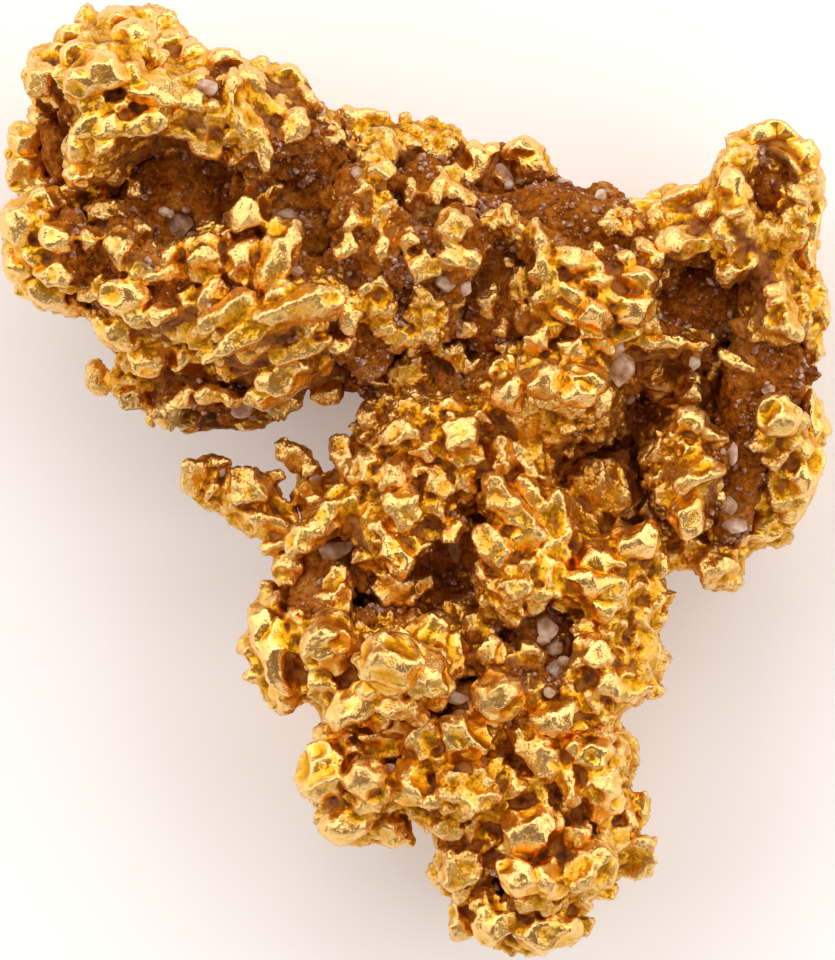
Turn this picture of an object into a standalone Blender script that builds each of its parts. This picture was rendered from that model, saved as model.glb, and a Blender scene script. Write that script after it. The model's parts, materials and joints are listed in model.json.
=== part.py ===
"""Gold nugget: a three-armed lump of native gold with iron-stained earth and quartz grains packed in its hollows.

The nugget lies on its back, on six worn lumps. Places are read off a plan grid: x runs to the right, y runs down
the sheet and z is the height above the surface it rests on, all in grid steps of 0.042 mm.
"""

import math

import bmesh
import bpy
from mathutils import Euler, Matrix, Vector, noise
from mathutils.bvhtree import BVHTree

# Driving dimensions, in metres
NUGGET_LENGTH = 0.0402  # from the top of the left arm to the tip of the leg
PLAN_LENGTH = 957  # the same length in grid steps
GRID = NUGGET_LENGTH / PLAN_LENGTH
BED_GAP = 0.0004  # clearance between a bed of earth and the gold round it
GRAIN_GAP = 0.00015  # clearance between a quartz grain and the earth it is set in
MASS_VOXEL = 0.0005  # fineness at which the big swellings are fused
LUMP_VOXEL = 0.00032  # fineness at which the lumps are fused to them
GOLD_TRIANGLES = 7000
THINNING = 0.00011  # what thinning takes off each side of a lump, given back beforehand
PLAN_CENTRE = (418, 480)

GOLD = ("native_gold", (0.86, 0.56, 0.13, 1), 0.3, 1.0)
EARTH = ("ironstone_earth", (0.24, 0.10, 0.035, 1), 0.9, 0.0)
QUARTZ = ("quartz", (0.72, 0.60, 0.56, 1), 0.4, 0.0)

# Swellings that make up the three arms: x, y, z, then half width, half depth and half height
LEFT_ARM = (
    (112, 104, 195, 84, 86, 160),
    (66, 246, 190, 50, 52, 112),
    (190, 118, 190, 112, 62, 165),
    (165, 270, 192, 90, 78, 160),
    (278, 170, 186, 72, 84, 150),
    (270, 310, 186, 88, 70, 154),
    (372, 225, 180, 76, 94, 140),
    (222, 392, 150, 66, 28, 86),
    (366, 330, 176, 50, 62, 116),
)
RIGHT_ARM = (
    (445, 245, 172, 84, 98, 138),
    (530, 270, 170, 86, 104, 140),
    (600, 292, 168, 74, 92, 138),
    (680, 285, 160, 76, 88, 128),
    (748, 222, 166, 48, 72, 120),
    (776, 186, 172, 38, 48, 112),
    (768, 325, 162, 48, 76, 124),
    (762, 440, 160, 56, 78, 120),
    (700, 470, 155, 50, 68, 118),
    (722, 556, 146, 22, 34, 70),
    (620, 478, 90, 92, 92, 60),
    (440, 356, 120, 76, 70, 96),
    (712, 382, 110, 56, 60, 80),
    (752, 530, 128, 40, 26, 50),
)
LEG = (
    (440, 440, 164, 84, 58, 124),
    (548, 400, 172, 84, 62, 136),
    (402, 530, 166, 86, 58, 124),
    (520, 560, 158, 100, 84, 124),
    (612, 590, 160, 46, 60, 118),
    (318, 636, 160, 46, 66, 108),
    (398, 680, 178, 74, 62, 136),
    (520, 690, 164, 84, 78, 130),
    (604, 672, 160, 48, 62, 118),
    (358, 788, 168, 44, 48, 112),
    (470, 780, 166, 70, 56, 126),
    (572, 780, 162, 54, 64, 122),
    (518, 880, 156, 64, 60, 116),
    (580, 856, 158, 46, 44, 106),
    (400, 606, 106, 76, 64, 76),
)
SPUR = (
    (212, 482, 176, 26, 16, 26),
    (256, 500, 174, 24, 24, 30),
    (290, 536, 170, 24, 16, 34),
    (309, 488, 174, 14, 28, 26),
    (128, 384, 146, 34, 12, 16),
    (160, 404, 144, 26, 14, 20),
)

# Hollows in the upper side, in the same six numbers
HOLLOWS = (
    (196, 194, 366, 66, 50, 128),
    (298, 230, 352, 48, 50, 84),
    (108, 256, 372, 28, 44, 118),
    (62, 136, 300, 17, 46, 130),
    (425, 205, 330, 40, 44, 66),
    (500, 290, 330, 46, 58, 84),
    (566, 222, 326, 50, 30, 72),
    (690, 292, 312, 48, 38, 116),
    (772, 186, 300, 22, 34, 104),
    (766, 385, 306, 34, 44, 74),
    (738, 462, 300, 22, 60, 66),
    (612, 468, 305, 60, 56, 192),
    (472, 385, 300, 40, 11, 110),
    (478, 520, 296, 16, 42, 110),
    (334, 562, 300, 36, 44, 122),
    (440, 580, 300, 46, 34, 66),
    (545, 650, 300, 28, 44, 74),
    (500, 884, 290, 28, 24, 96),
    (306, 343, 352, 38, 13, 78),
    (366, 356, 300, 26, 22, 60),
)

# Hollows in the back, in the same six numbers
BACK_HOLLOWS = (
    (180, 214, 14, 46, 34, 66),
    (352, 190, 6, 52, 60, 60),
    (600, 262, 4, 70, 46, 62),
    (470, 420, 20, 60, 52, 56),
    (462, 640, 8, 50, 66, 62),
    (620, 560, 26, 34, 44, 52),
)

# Worn lumps that the nugget rests on: x, y, half width and half depth. They are ground flat at z = 0
FOOT_HEIGHT = 44
FOOT_SINK = 5
FEET = (
    (98, 140, 50, 44), (252, 316, 50, 48), (764, 292, 32, 46), (742, 462, 34, 44), (536, 846, 42, 48),
    (356, 694, 40, 46),
)

# Lumps grown on the gold: x, y, length, width and turn in degrees, anticlockwise
LEFT_ARM_LUMPS = (
    (122, 15, 46, 28, 8), (150, 18, 30, 28, -40), (172, 26, 40, 22, -30), (184, 46, 46, 28, -28),
    (97, 20, 22, 20, 0), (74, 38, 42, 22, 35), (90, 52, 24, 26, 70), (40, 60, 26, 26, 0),
    (52, 78, 34, 28, 20), (92, 80, 56, 46, 20), (114, 58, 52, 30, 15), (82, 97, 26, 18, 0),
    (146, 54, 36, 32, 0), (136, 86, 34, 30, 0), (163, 97, 54, 36, -8), (195, 106, 28, 20, -30),
    (110, 140, 60, 44, 20), (152, 130, 60, 24, 0), (205, 140, 54, 36, -25), (86, 167, 38, 44, 0),
    (113, 182, 26, 28, 0), (76, 194, 32, 24, 10), (114, 213, 42, 24, -15), (32, 136, 44, 34, 30),
    (34, 176, 40, 44, -10), (40, 216, 66, 40, 20), (22, 250, 36, 68, 0), (60, 246, 42, 36, -10),
    (68, 272, 44, 32, -30), (34, 284, 44, 36, -35), (70, 300, 36, 34, -20), (88, 306, 24, 26, 0),
    (126, 252, 36, 44, 20), (180, 256, 26, 28, 0), (174, 276, 62, 16, 5), (210, 256, 34, 40, -15),
    (214, 229, 30, 22, 20), (234, 238, 28, 20, -10), (252, 220, 40, 50, 0), (275, 195, 18, 26, 0),
    (248, 262, 28, 40, 0), (283, 266, 66, 26, 70), (216, 300, 36, 32, 60), (240, 314, 44, 26, 25),
    (136, 300, 52, 32, 10), (160, 320, 36, 20, 5), (298, 306, 92, 26, 12), (330, 306, 36, 32, 0),
    (366, 305, 50, 28, 10), (250, 340, 62, 28, 12), (140, 345, 66, 56, -55), (192, 356, 46, 44, -35),
    (228, 385, 40, 24, -20), (274, 384, 50, 44, 30), (304, 374, 58, 30, 35), (240, 360, 42, 24, -40),
    (346, 346, 34, 18, 35), (284, 404, 42, 24, 10), (96, 374, 18, 26, 0), (128, 381, 50, 20, -12),
    (134, 404, 28, 24, 0), (172, 416, 32, 30, 0), (190, 396, 22, 30, 0), (225, 398, 44, 20, -20),
    (335, 390, 34, 26, 20), (378, 388, 40, 18, -35), (230, 64, 36, 30, 10), (262, 76, 36, 26, -20),
    (257, 88, 40, 24, -60), (292, 84, 40, 36, -25), (310, 104, 30, 30, -50), (234, 94, 22, 34, 0),
    (256, 136, 56, 16, -50), (299, 130, 24, 34, 0), (360, 124, 50, 30, -10), (352, 152, 28, 30, -20),
    (380, 152, 60, 28, -60), (384, 180, 28, 28, 0), (368, 194, 28, 22, 0), (352, 250, 24, 24, 0),
)
RIGHT_ARM_LUMPS = (
    (412, 134, 52, 30, -5), (445, 138, 32, 28, -35), (406, 160, 32, 26, 0), (484, 160, 34, 38, 0),
    (490, 188, 34, 26, -40), (523, 148, 32, 26, 10), (540, 166, 40, 22, -20), (550, 182, 24, 22, 0),
    (440, 190, 22, 34, 0), (412, 196, 24, 30, 30), (462, 202, 26, 34, -40), (408, 226, 32, 26, 0),
    (459, 230, 38, 32, -20), (507, 222, 24, 28, 0), (540, 240, 30, 34, 0), (466, 258, 46, 20, -15),
    (426, 268, 36, 32, 0), (390, 252, 26, 30, 0), (414, 248, 26, 18, -50), (394, 296, 34, 34, 0),
    (430, 320, 50, 58, 0), (392, 336, 30, 32, 0), (404, 372, 46, 40, -20), (462, 362, 40, 34, 0),
    (504, 372, 30, 26, -30), (489, 303, 24, 32, 0), (543, 345, 36, 26, 10), (560, 270, 54, 30, -8),
    (527, 286, 24, 32, 0), (572, 292, 60, 32, -15), (592, 318, 52, 36, -40), (640, 308, 42, 34, 15),
    (602, 284, 32, 22, 0), (576, 346, 42, 38, 0), (600, 366, 34, 24, -50), (628, 214, 42, 24, 10),
    (662, 212, 34, 26, 0), (684, 196, 50, 24, 12), (718, 194, 36, 24, 20), (737, 176, 40, 34, -55),
    (745, 208, 36, 32, -40), (741, 142, 36, 28, -10), (776, 138, 50, 24, -5), (806, 156, 48, 22, -55),
    (816, 192, 18, 50, 0), (796, 200, 34, 40, 0), (808, 240, 18, 42, 0), (686, 242, 42, 28, -10),
    (650, 254, 30, 22, -40), (662, 270, 34, 28, -35), (638, 276, 38, 22, -30), (708, 216, 24, 26, 0),
    (734, 238, 42, 26, -20), (743, 272, 42, 40, 0), (782, 236, 40, 30, 0), (778, 296, 34, 22, -60),
    (786, 326, 28, 36, 0), (814, 308, 30, 46, 0), (816, 272, 20, 28, 20), (816, 350, 20, 32, 0),
    (700, 350, 34, 22, 15), (728, 364, 42, 24, -35), (652, 350, 26, 40, 0), (666, 388, 50, 28, -10),
    (700, 390, 26, 26, 0), (688, 428, 36, 36, 0), (716, 446, 32, 28, -30), (698, 476, 50, 42, 0),
    (662, 480, 26, 50, -10), (698, 516, 44, 46, 30), (720, 518, 18, 36, -10), (690, 545, 30, 18, 10),
    (784, 416, 44, 42, 0), (817, 418, 18, 60, 0), (804, 454, 34, 34, 0), (804, 490, 34, 46, -20),
    (768, 500, 42, 30, 25), (786, 528, 46, 22, 35), (724, 560, 44, 30, 20), (728, 582, 34, 30, 0),
    (694, 564, 34, 24, -40),
)
LEG_LUMPS = (
    (560, 386, 92, 44, -5), (510, 400, 42, 42, 0), (600, 402, 24, 32, 0), (567, 424, 16, 26, 0),
    (500, 456, 40, 30, -30), (526, 462, 74, 20, -58), (512, 512, 92, 28, -55), (538, 500, 76, 30, -50),
    (562, 518, 26, 44, -10), (497, 546, 44, 24, -65), (552, 560, 24, 40, 10), (520, 590, 54, 56, 0),
    (410, 410, 40, 36, 0), (374, 418, 28, 36, 20), (402, 436, 44, 24, 0), (460, 430, 36, 50, 20),
    (352, 466, 36, 46, 0), (386, 476, 54, 46, 0), (404, 506, 42, 46, 20), (442, 480, 30, 36, 0),
    (466, 484, 28, 34, 0), (448, 520, 26, 46, 10), (402, 552, 30, 46, 0), (330, 522, 86, 24, 48),
    (385, 522, 30, 28, 0), (342, 592, 26, 50, 10), (388, 586, 40, 38, 0), (284, 572, 30, 32, 0),
    (274, 620, 62, 28, 60), (268, 662, 36, 60, 0), (280, 702, 52, 30, -45), (197, 478, 32, 36, 0),
    (216, 464, 36, 18, 0), (228, 504, 38, 24, 60), (260, 488, 46, 36, 0), (252, 524, 46, 28, -10),
    (286, 516, 24, 18, -35), (284, 544, 42, 28, -30), (302, 458, 34, 24, -40), (311, 500, 30, 40, 0),
    (330, 642, 44, 46, 0), (330, 676, 34, 34, 0), (345, 708, 60, 38, 45), (394, 664, 70, 58, -30),
    (430, 666, 40, 44, -30), (430, 637, 38, 42, -30), (388, 624, 54, 22, 20), (400, 706, 56, 28, 0),
    (326, 772, 48, 54, 0), (372, 780, 42, 44, 0), (344, 752, 42, 28, 0), (394, 750, 36, 28, 0),
    (434, 747, 36, 50, 10), (470, 740, 44, 48, 0), (418, 790, 42, 36, 0), (348, 828, 50, 50, -35),
    (388, 838, 54, 28, -25), (444, 822, 66, 30, -20), (466, 790, 62, 44, 0), (458, 616, 30, 34, 0),
    (480, 624, 30, 26, 0), (459, 666, 26, 46, 15), (494, 656, 30, 30, 0), (528, 660, 34, 40, 0),
    (504, 695, 46, 46, 0), (592, 556, 40, 32, 0), (625, 548, 86, 38, 14), (660, 562, 20, 40, 0),
    (592, 592, 58, 34, 0), (602, 626, 34, 36, 0), (566, 616, 26, 28, 0), (656, 604, 28, 48, 0),
    (590, 670, 32, 58, 0), (648, 646, 34, 34, 0), (660, 674, 26, 42, 0), (624, 688, 34, 34, 0),
    (572, 718, 62, 38, 10), (614, 714, 28, 38, 0), (556, 750, 62, 40, -50), (628, 758, 30, 46, 0),
    (600, 774, 42, 54, 0), (628, 816, 30, 46, 0), (646, 808, 20, 28, 0), (594, 816, 42, 34, 0),
    (528, 828, 60, 50, 20), (558, 842, 38, 44, 0), (522, 874, 46, 34, -50), (556, 880, 38, 40, 0),
    (592, 870, 50, 56, 0), (638, 860, 36, 44, 0), (452, 868, 34, 44, 0), (476, 870, 44, 22, -60),
    (466, 920, 30, 34, 0), (496, 926, 38, 44, 0), (523, 908, 28, 22, 0), (560, 914, 36, 36, 0),
    (548, 938, 48, 32, 0), (578, 930, 28, 30, 0), (516, 946, 60, 20, 0), (520, 786, 52, 34, 0),
)

# Crystals that stand in the deep central hollow: x, y, z, length, width and turn
CAVITY_CRYSTALS = ((604, 488, 150, 62, 44, -70), (602, 440, 196, 44, 28, -60), (652, 452, 200, 30, 20, -50))

# Iron-stained earth packed in the hollows: swellings as x, y, z, half width, half depth, half height and turn
EARTH_BEDS = {
    "earth_left_bowl": (
        (196, 196, 222, 78, 60, 40, 0), (300, 232, 240, 60, 60, 40, 0), (106, 256, 234, 36, 52, 36, 0),
        (150, 232, 236, 50, 40, 36, 0), (322, 166, 248, 34, 44, 44, 0),
    ),
    "earth_upper_left": ((62, 138, 196, 24, 54, 54, 0),),
    "earth_saddle": (
        (428, 206, 246, 48, 52, 44, 0), (500, 292, 222, 56, 66, 46, 0), (566, 224, 226, 60, 38, 54, -25),
        (492, 232, 240, 50, 36, 40, 0), (608, 236, 226, 40, 40, 46, 0),
    ),
    "earth_right_hollow": (
        (694, 300, 184, 62, 50, 44, 0), (764, 376, 222, 44, 50, 34, 0), (744, 446, 216, 34, 62, 34, 0),
        (732, 512, 212, 24, 34, 30, 0),
    ),
    "earth_crest_hollow": ((772, 190, 186, 28, 42, 36, 0),),
    "earth_central_hollow": ((612, 470, 96, 58, 54, 44, 0),),
    "earth_lower_hollow": ((334, 566, 172, 42, 50, 40, 0), (318, 606, 190, 30, 34, 40, 0)),
    "earth_leg": ((444, 578, 226, 50, 42, 32, 0), (538, 642, 224, 42, 52, 34, 0)),
    "earth_leg_front": ((466, 702, 246, 28, 24, 34, 0),),
    "earth_foot": ((498, 882, 184, 34, 28, 36, 0),),
    "earth_arm_notch": ((368, 354, 236, 30, 28, 36, 0),),
    "earth_under_arm": ((220, 400, 214, 44, 17, 30, -5),),
}

# Quartz grains bedded in the earth: bed, x, y, length, width and turn
QUARTZ_GRAINS = {
    "quartz_bowl": ("earth_left_bowl", 183, 227, 30, 28, 0),
    "quartz_bowl_right": ("earth_left_bowl", 291, 219, 28, 22, 0),
    "quartz_saddle_round": ("earth_saddle", 450, 285, 26, 26, 0),
    "quartz_ledge": ("earth_saddle", 508, 178, 34, 22, -50),
    "quartz_under_arm": ("earth_under_arm", 245, 410, 26, 22, 0),
    "quartz_leg_upper": ("earth_leg", 557, 640, 26, 26, -40),
    "quartz_leg_lower": ("earth_leg", 558, 682, 20, 26, 0),
    "quartz_right": ("earth_right_hollow", 734, 506, 22, 26, 0),
}


def clear_scene():
    for left_over in list(bpy.data.objects):
        bpy.data.objects.remove(left_over)


def at(x, y, z):
    """A place on the plan grid, in metres."""
    return Vector(((x - PLAN_CENTRE[0]) * GRID, (PLAN_CENTRE[1] - y) * GRID, z * GRID))


def material(name, colour, roughness, metallic):
    made = bpy.data.materials.get(name) or bpy.data.materials.new(name)
    made.use_nodes = True
    shader = made.node_tree.nodes["Principled BSDF"]
    shader.inputs["Base Color"].default_value = colour
    shader.inputs["Roughness"].default_value = roughness
    shader.inputs["Metallic"].default_value = metallic
    return made


def object_from(name, mesh_data):
    made = bpy.data.objects.new(name, mesh_data)
    bpy.context.scene.collection.objects.link(made)
    return made


def add_blob(bm, centre, halves, turn=0.0, detail=2, waviness=0.12):
    """Adds one rounded swelling to bm. Its surface wanders in and out by the share that waviness gives."""
    made = bmesh.ops.create_icosphere(bm, subdivisions=detail, radius=1.0)["verts"]
    turned = Euler((0, 0, math.radians(turn))).to_matrix()
    smallest = min(halves)
    for vert in made:
        local = turned @ Vector(a * b for a, b in zip(vert.co, halves))
        swell = noise.noise((centre + local) / (smallest * 1.1)) * waviness
        vert.co = centre + local * (1 + swell)


def mesh_of(name, bm):
    mesh_data = bpy.data.meshes.new(name)
    bm.to_mesh(mesh_data)
    bm.free()
    return mesh_data


def baked(made):
    """Replaces an object's mesh with what its modifiers make of it."""
    graph = bpy.context.evaluated_depsgraph_get()
    finished = bpy.data.meshes.new_from_object(made.evaluated_get(graph))
    made.modifiers.clear()
    made.data = finished
    return made


def fused(made, voxel):
    """Joins overlapping swellings into one closed skin."""
    remesh = made.modifiers.new("fuse", "REMESH")
    remesh.mode = "VOXEL"
    remesh.voxel_size = voxel
    return baked(made)


def cut(made, cutter):
    difference = made.modifiers.new("cut", "BOOLEAN")
    difference.operation = "DIFFERENCE"
    difference.solver = "EXACT"
    difference.object = cutter
    return baked(made)


def helper(made):
    made.hide_render = True
    made.display_type = "WIRE"
    return made


def swellings(name, rows, grow=0.0, voxel=MASS_VOXEL):
    """One skin round several rows of x, y, z, three half sizes and, where it matters, a turn."""
    bm = bmesh.new()
    for x, y, z, *sizes in rows:
        halves = [s * GRID + grow for s in sizes[:3]]
        add_blob(bm, at(x, y, z), halves, *sizes[3:], detail=3)
    return fused(object_from(name, mesh_of(name, bm)), voxel)


def seat(tree, x, y, middle=190):
    """Height of the gold's upper skin at a place on the plan or, past its edge, of the nearest skin."""
    hit = tree.ray_cast(at(x, y, 1000), Vector((0, 0, -1)))[0]
    if hit is None:
        hit = tree.find_nearest(at(x, y, middle))[0]
    return hit.z / GRID


def tree_of(made):
    return BVHTree.FromObject(made, bpy.context.evaluated_depsgraph_get())


def largest_piece(made):
    """Drops crumbs that a cut has left beside the main body."""
    bm = bmesh.new()
    bm.from_mesh(made.data)
    unseen, groups = set(bm.verts), []
    while unseen:
        edge_of_group, group = [unseen.pop()], []
        while edge_of_group:
            vert = edge_of_group.pop()
            group.append(vert)
            for edge in vert.link_edges:
                other = edge.other_vert(vert)
                if other in unseen:
                    unseen.remove(other)
                    edge_of_group.append(other)
        groups.append(group)
    groups.sort(key=len)
    for group in groups[:-1]:
        bmesh.ops.delete(bm, geom=group, context="VERTS")
    bm.to_mesh(made.data)
    bm.free()
    return made


def thinned(made, triangles):
    count = sum(len(face.vertices) - 2 for face in made.data.polygons)
    decimate = made.modifiers.new("thin", "DECIMATE")
    decimate.ratio = min(1.0, triangles / count)
    return baked(made)


def finished(made, finish):
    made.data.materials.clear()
    made.data.materials.append(material(*finish))
    made.data.shade_smooth()
    return made


def hidden_side_lumps():
    """Lumps on the flanks and the back, spread over each swelling's lower half by the golden angle."""
    golden_angle = math.radians(137.5)
    for x, y, z, wide, deep, high in LEFT_ARM + RIGHT_ARM + LEG:
        count = 13 if wide > 40 else 6
        for step in range(count):
            fall = -0.16 - 0.78 * (step + 0.5) / count
            ring = math.sqrt(1 - fall * fall)
            round_it = golden_angle * step + x
            size = 40 + 14 * math.sin(step * 2.4 + y)
            yield (
                x + wide * ring * math.cos(round_it) * 0.93,
                y + deep * ring * math.sin(round_it) * 0.93,
                z + high * fall * 0.95,
                size,
                size * 0.8,
                math.degrees(round_it),
            )


def make_gold():
    """The gold: three arms of fused swellings, hollowed, and grown over with lumps."""
    body = swellings("gold_core", LEFT_ARM + RIGHT_ARM + LEG + SPUR)
    hollows = helper(swellings("hollows", HOLLOWS + BACK_HOLLOWS))
    cut(body, hollows)
    skin = tree_of(body)

    bm = bmesh.new()
    bm.from_mesh(body.data)
    for x, y, length, width, turn in LEFT_ARM_LUMPS + RIGHT_ARM_LUMPS + LEG_LUMPS:
        low = 0.5 * (length + width) / 2
        centre = at(x, y, seat(skin, x, y) + 0.1 * low)
        halves = (length * GRID / 2 + THINNING, width * GRID / 2 + THINNING, low * GRID)
        add_blob(bm, centre, halves, turn)
    for x, y, z, length, width, turn in tuple(hidden_side_lumps()) + CAVITY_CRYSTALS:
        add_blob(bm, at(x, y, z), (length * GRID / 2, width * GRID / 2, width * GRID / 2), turn)
    for x, y, wide, deep in FEET:
        add_blob(bm, at(x, y, FOOT_HEIGHT - FOOT_SINK), (wide * GRID, deep * GRID, FOOT_HEIGHT * GRID))
        for step in range(6):
            round_it = math.radians(60 * step + x)
            out_x, out_y = x + wide * math.cos(round_it), y + deep * math.sin(round_it)
            halves = (wide * 0.7 * GRID, deep * 0.6 * GRID, FOOT_HEIGHT * GRID)
            add_blob(bm, at(out_x, out_y, FOOT_HEIGHT + 12 + 10 * math.sin(2.0 * step)), halves, 60 * step)
    gold = fused(object_from("gold_body", mesh_of("gold_body", bm)), LUMP_VOXEL)
    for used in (body, hollows):
        bpy.data.objects.remove(used)
    return gold


def wear_flat(gold):
    """Grinds the lumps that touch the ground to flats at z = 0."""
    bm = bmesh.new()
    slab_height = 100 * GRID
    bmesh.ops.create_cube(bm, size=1.0)
    bmesh.ops.scale(bm, verts=bm.verts, vec=(NUGGET_LENGTH * 1.5, NUGGET_LENGTH * 1.5, slab_height))
    bmesh.ops.translate(bm, verts=bm.verts, vec=(0, 0, -slab_height / 2))
    slab = helper(object_from("ground", mesh_of("ground", bm)))
    cut(gold, slab)
    bpy.data.objects.remove(slab)


def make_earth():
    """The beds of earth, and the room that each takes in the gold."""
    beds, pockets = {}, []
    for name, rows in EARTH_BEDS.items():
        beds[name] = thinned(swellings(name, rows, voxel=0.0005), 44 * len(rows) + 36)
        pockets.append(swellings(name + "_pocket", rows, grow=BED_GAP, voxel=0.0005))
    return beds, pockets


def quartz_blob(name, centre, halves, turn, grow=0.0):
    bm = bmesh.new()
    add_blob(bm, centre, [half + grow for half in halves], turn, detail=2, waviness=0.2)
    return object_from(name, mesh_of(name, bm))


def make_quartz(beds):
    """Quartz grains, each bedded half deep in its earth, and the room that each takes in the gold."""
    grains, pockets = [], []
    for name, (bed_name, x, y, length, width, turn) in QUARTZ_GRAINS.items():
        bed = beds[bed_name]
        low = 0.42 * min(length, width)
        centre = at(x, y, seat(tree_of(bed), x, y))
        halves = [length / 2 * GRID, width / 2 * GRID, low * GRID]
        grains.append(quartz_blob(name, centre, halves, turn))
        socket = helper(quartz_blob(name + "_socket", centre, halves, turn, grow=GRAIN_GAP))
        largest_piece(cut(bed, socket))
        bpy.data.objects.remove(socket)
        pockets.append(quartz_blob(name + "_pocket", centre, halves, turn, grow=BED_GAP))
    return grains, pockets


def make_room(gold, pockets):
    """Cuts the room for the beds and grains out of the gold, in one cut, and rounds the skin."""
    bm = bmesh.new()
    for pocket in pockets:
        bm.from_mesh(pocket.data)
        bpy.data.objects.remove(pocket)
    room = helper(fused(object_from("room", mesh_of("room", bm)), LUMP_VOXEL))
    cut(gold, room)
    bpy.data.objects.remove(room)
    fused(largest_piece(gold), LUMP_VOXEL)
    soften = gold.modifiers.new("soften", "SMOOTH")
    soften.factor = 0.5
    soften.iterations = 2
    return largest_piece(baked(gold))


def stand_at_origin(pieces):
    """Moves every piece so that the origin is under the middle of the nugget, on the surface it rests on."""
    corners = [piece.matrix_world @ vert.co for piece in pieces for vert in piece.data.vertices]
    low = Vector(min(corner[axis] for corner in corners) for axis in range(3))
    high = Vector(max(corner[axis] for corner in corners) for axis in range(3))
    shift = Matrix.Translation((-(low.x + high.x) / 2, -(low.y + high.y) / 2, -low.z))
    for piece in pieces:
        piece.data.transform(shift)


def main():
    clear_scene()
    gold = make_gold()
    beds, bed_pockets = make_earth()
    grains, grain_pockets = make_quartz(beds)
    make_room(gold, bed_pockets + grain_pockets)
    thinned(gold, GOLD_TRIANGLES)
    wear_flat(gold)
    largest_piece(gold)
    finished(gold, GOLD)
    for bed in beds.values():
        finished(bed, EARTH)
    for grain in grains:
        finished(grain, QUARTZ)
    stand_at_origin([gold, *beds.values(), *grains])


main()
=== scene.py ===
"""The looks of a gold nugget: worn gold crystals grown together, rusty earth in the hollows, quartz sand.

Places are read off a plan grid in steps of 0.042 mm: x runs to the right and y runs down the sheet.
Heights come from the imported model, because every lump is seated on the skin under it.
"""

import json
import math
import random

import bpy
import numpy as np
from mathutils import Euler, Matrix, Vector, noise
from mathutils.bvhtree import BVHTree

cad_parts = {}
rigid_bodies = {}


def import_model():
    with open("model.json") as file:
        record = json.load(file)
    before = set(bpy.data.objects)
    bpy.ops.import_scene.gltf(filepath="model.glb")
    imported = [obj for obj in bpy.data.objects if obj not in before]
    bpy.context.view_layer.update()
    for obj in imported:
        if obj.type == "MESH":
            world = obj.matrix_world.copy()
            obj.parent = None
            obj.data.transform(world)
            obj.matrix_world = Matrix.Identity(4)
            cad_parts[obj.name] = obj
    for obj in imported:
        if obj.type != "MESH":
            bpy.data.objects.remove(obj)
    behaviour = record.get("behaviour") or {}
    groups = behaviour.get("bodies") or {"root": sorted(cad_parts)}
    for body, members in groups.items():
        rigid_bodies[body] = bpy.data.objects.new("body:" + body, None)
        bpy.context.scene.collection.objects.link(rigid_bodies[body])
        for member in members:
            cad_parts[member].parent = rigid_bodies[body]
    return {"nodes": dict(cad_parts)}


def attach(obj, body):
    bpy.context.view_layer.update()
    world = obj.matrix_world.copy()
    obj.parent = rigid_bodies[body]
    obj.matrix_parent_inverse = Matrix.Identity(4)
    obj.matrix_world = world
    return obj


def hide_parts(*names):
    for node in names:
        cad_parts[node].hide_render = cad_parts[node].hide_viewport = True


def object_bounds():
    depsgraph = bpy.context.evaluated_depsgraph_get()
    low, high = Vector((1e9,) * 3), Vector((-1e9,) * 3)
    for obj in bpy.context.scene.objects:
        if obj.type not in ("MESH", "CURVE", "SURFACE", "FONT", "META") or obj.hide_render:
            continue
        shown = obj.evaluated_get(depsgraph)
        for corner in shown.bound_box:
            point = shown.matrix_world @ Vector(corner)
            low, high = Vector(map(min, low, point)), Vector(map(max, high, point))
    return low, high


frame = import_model()
cad_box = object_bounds()

MM = 0.001
PLAN_LENGTH = 957
GRID = 40.2 * MM / PLAN_LENGTH
PLAN_CENTRE = (416.5, 479.5)
PICTURE = (835, 960)
SKIN = 0.09 * MM  # fineness of the gold's skin
EARTH_SKIN = 0.14 * MM
CORE_SKIN = 0.3 * MM
UNDERCOAT_SKIN = 0.24 * MM
GOLD_KEPT = 0.42  # share of the gold skin's triangles kept, fewest on its flattest places
LUMP_TRIANGLES = 900  # in each lump modelled once and copied
LUMP_SKIN = 0.09  # its fineness while it is worn, as a share of its half length
OVERLAP = 0.2 * MM  # how far neighbouring gold pieces run into each other
GOLD_SEED, EARTH_SEED, QUARTZ_SEED, SAND_SEED = 7, 200, 400, 900
DOWN = Vector((0, 0, -1))
UP = Vector((0, 0, 1))
ABOVE_ALL = 1000  # a height in grid steps from which a ray meets the top of the nugget first
MID_HEIGHT = 190  # half the nugget's height, in grid steps

# The gold is made in pieces, each within a box of the plan: left, right, top and bottom
GOLD_PIECES = {
    "gold_left_end": (-50, 165, -50, 452),
    "gold_left_arm": (165, 345, -50, 452),
    "gold_saddle": (345, 520, -50, 400),
    "gold_crest": (520, 665, -50, 400),
    "gold_right_arm": (665, 900, -50, 700),
    "gold_leg_left": (100, 400, 400, 735),
    "gold_leg_middle": (400, 530, 400, 735),
    "gold_leg_right": (530, 665, 400, 735),
    "gold_foot": (250, 700, 735, 1000),
}

# The sand is made in pieces too
SAND_PIECES = {
    "quartz_sand_left": (-50, 350, -50, 452),
    "quartz_sand_right": (350, 900, -50, 452),
    "quartz_sand_low_right": (530, 900, 452, 620),
    "quartz_sand_leg": (-50, 530, 452, 1000),
    "quartz_sand_foot": (530, 900, 620, 1000),
}

# The lumps run into each other under their visible edges, most of all on the leg, so they are made this
# much longer and wider than their tables say, in grid steps
GROWTH, LEG_GROWTH = 5, 8
LEG_TOP, LEG_RIGHT = 540, 672

# How smooth each kind of lump is worn
WEAR = {"hopper": 0.9, "pebble": 1.0, "shell": 0.8, "rod": 0.5, "crystal": 0.45}

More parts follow.
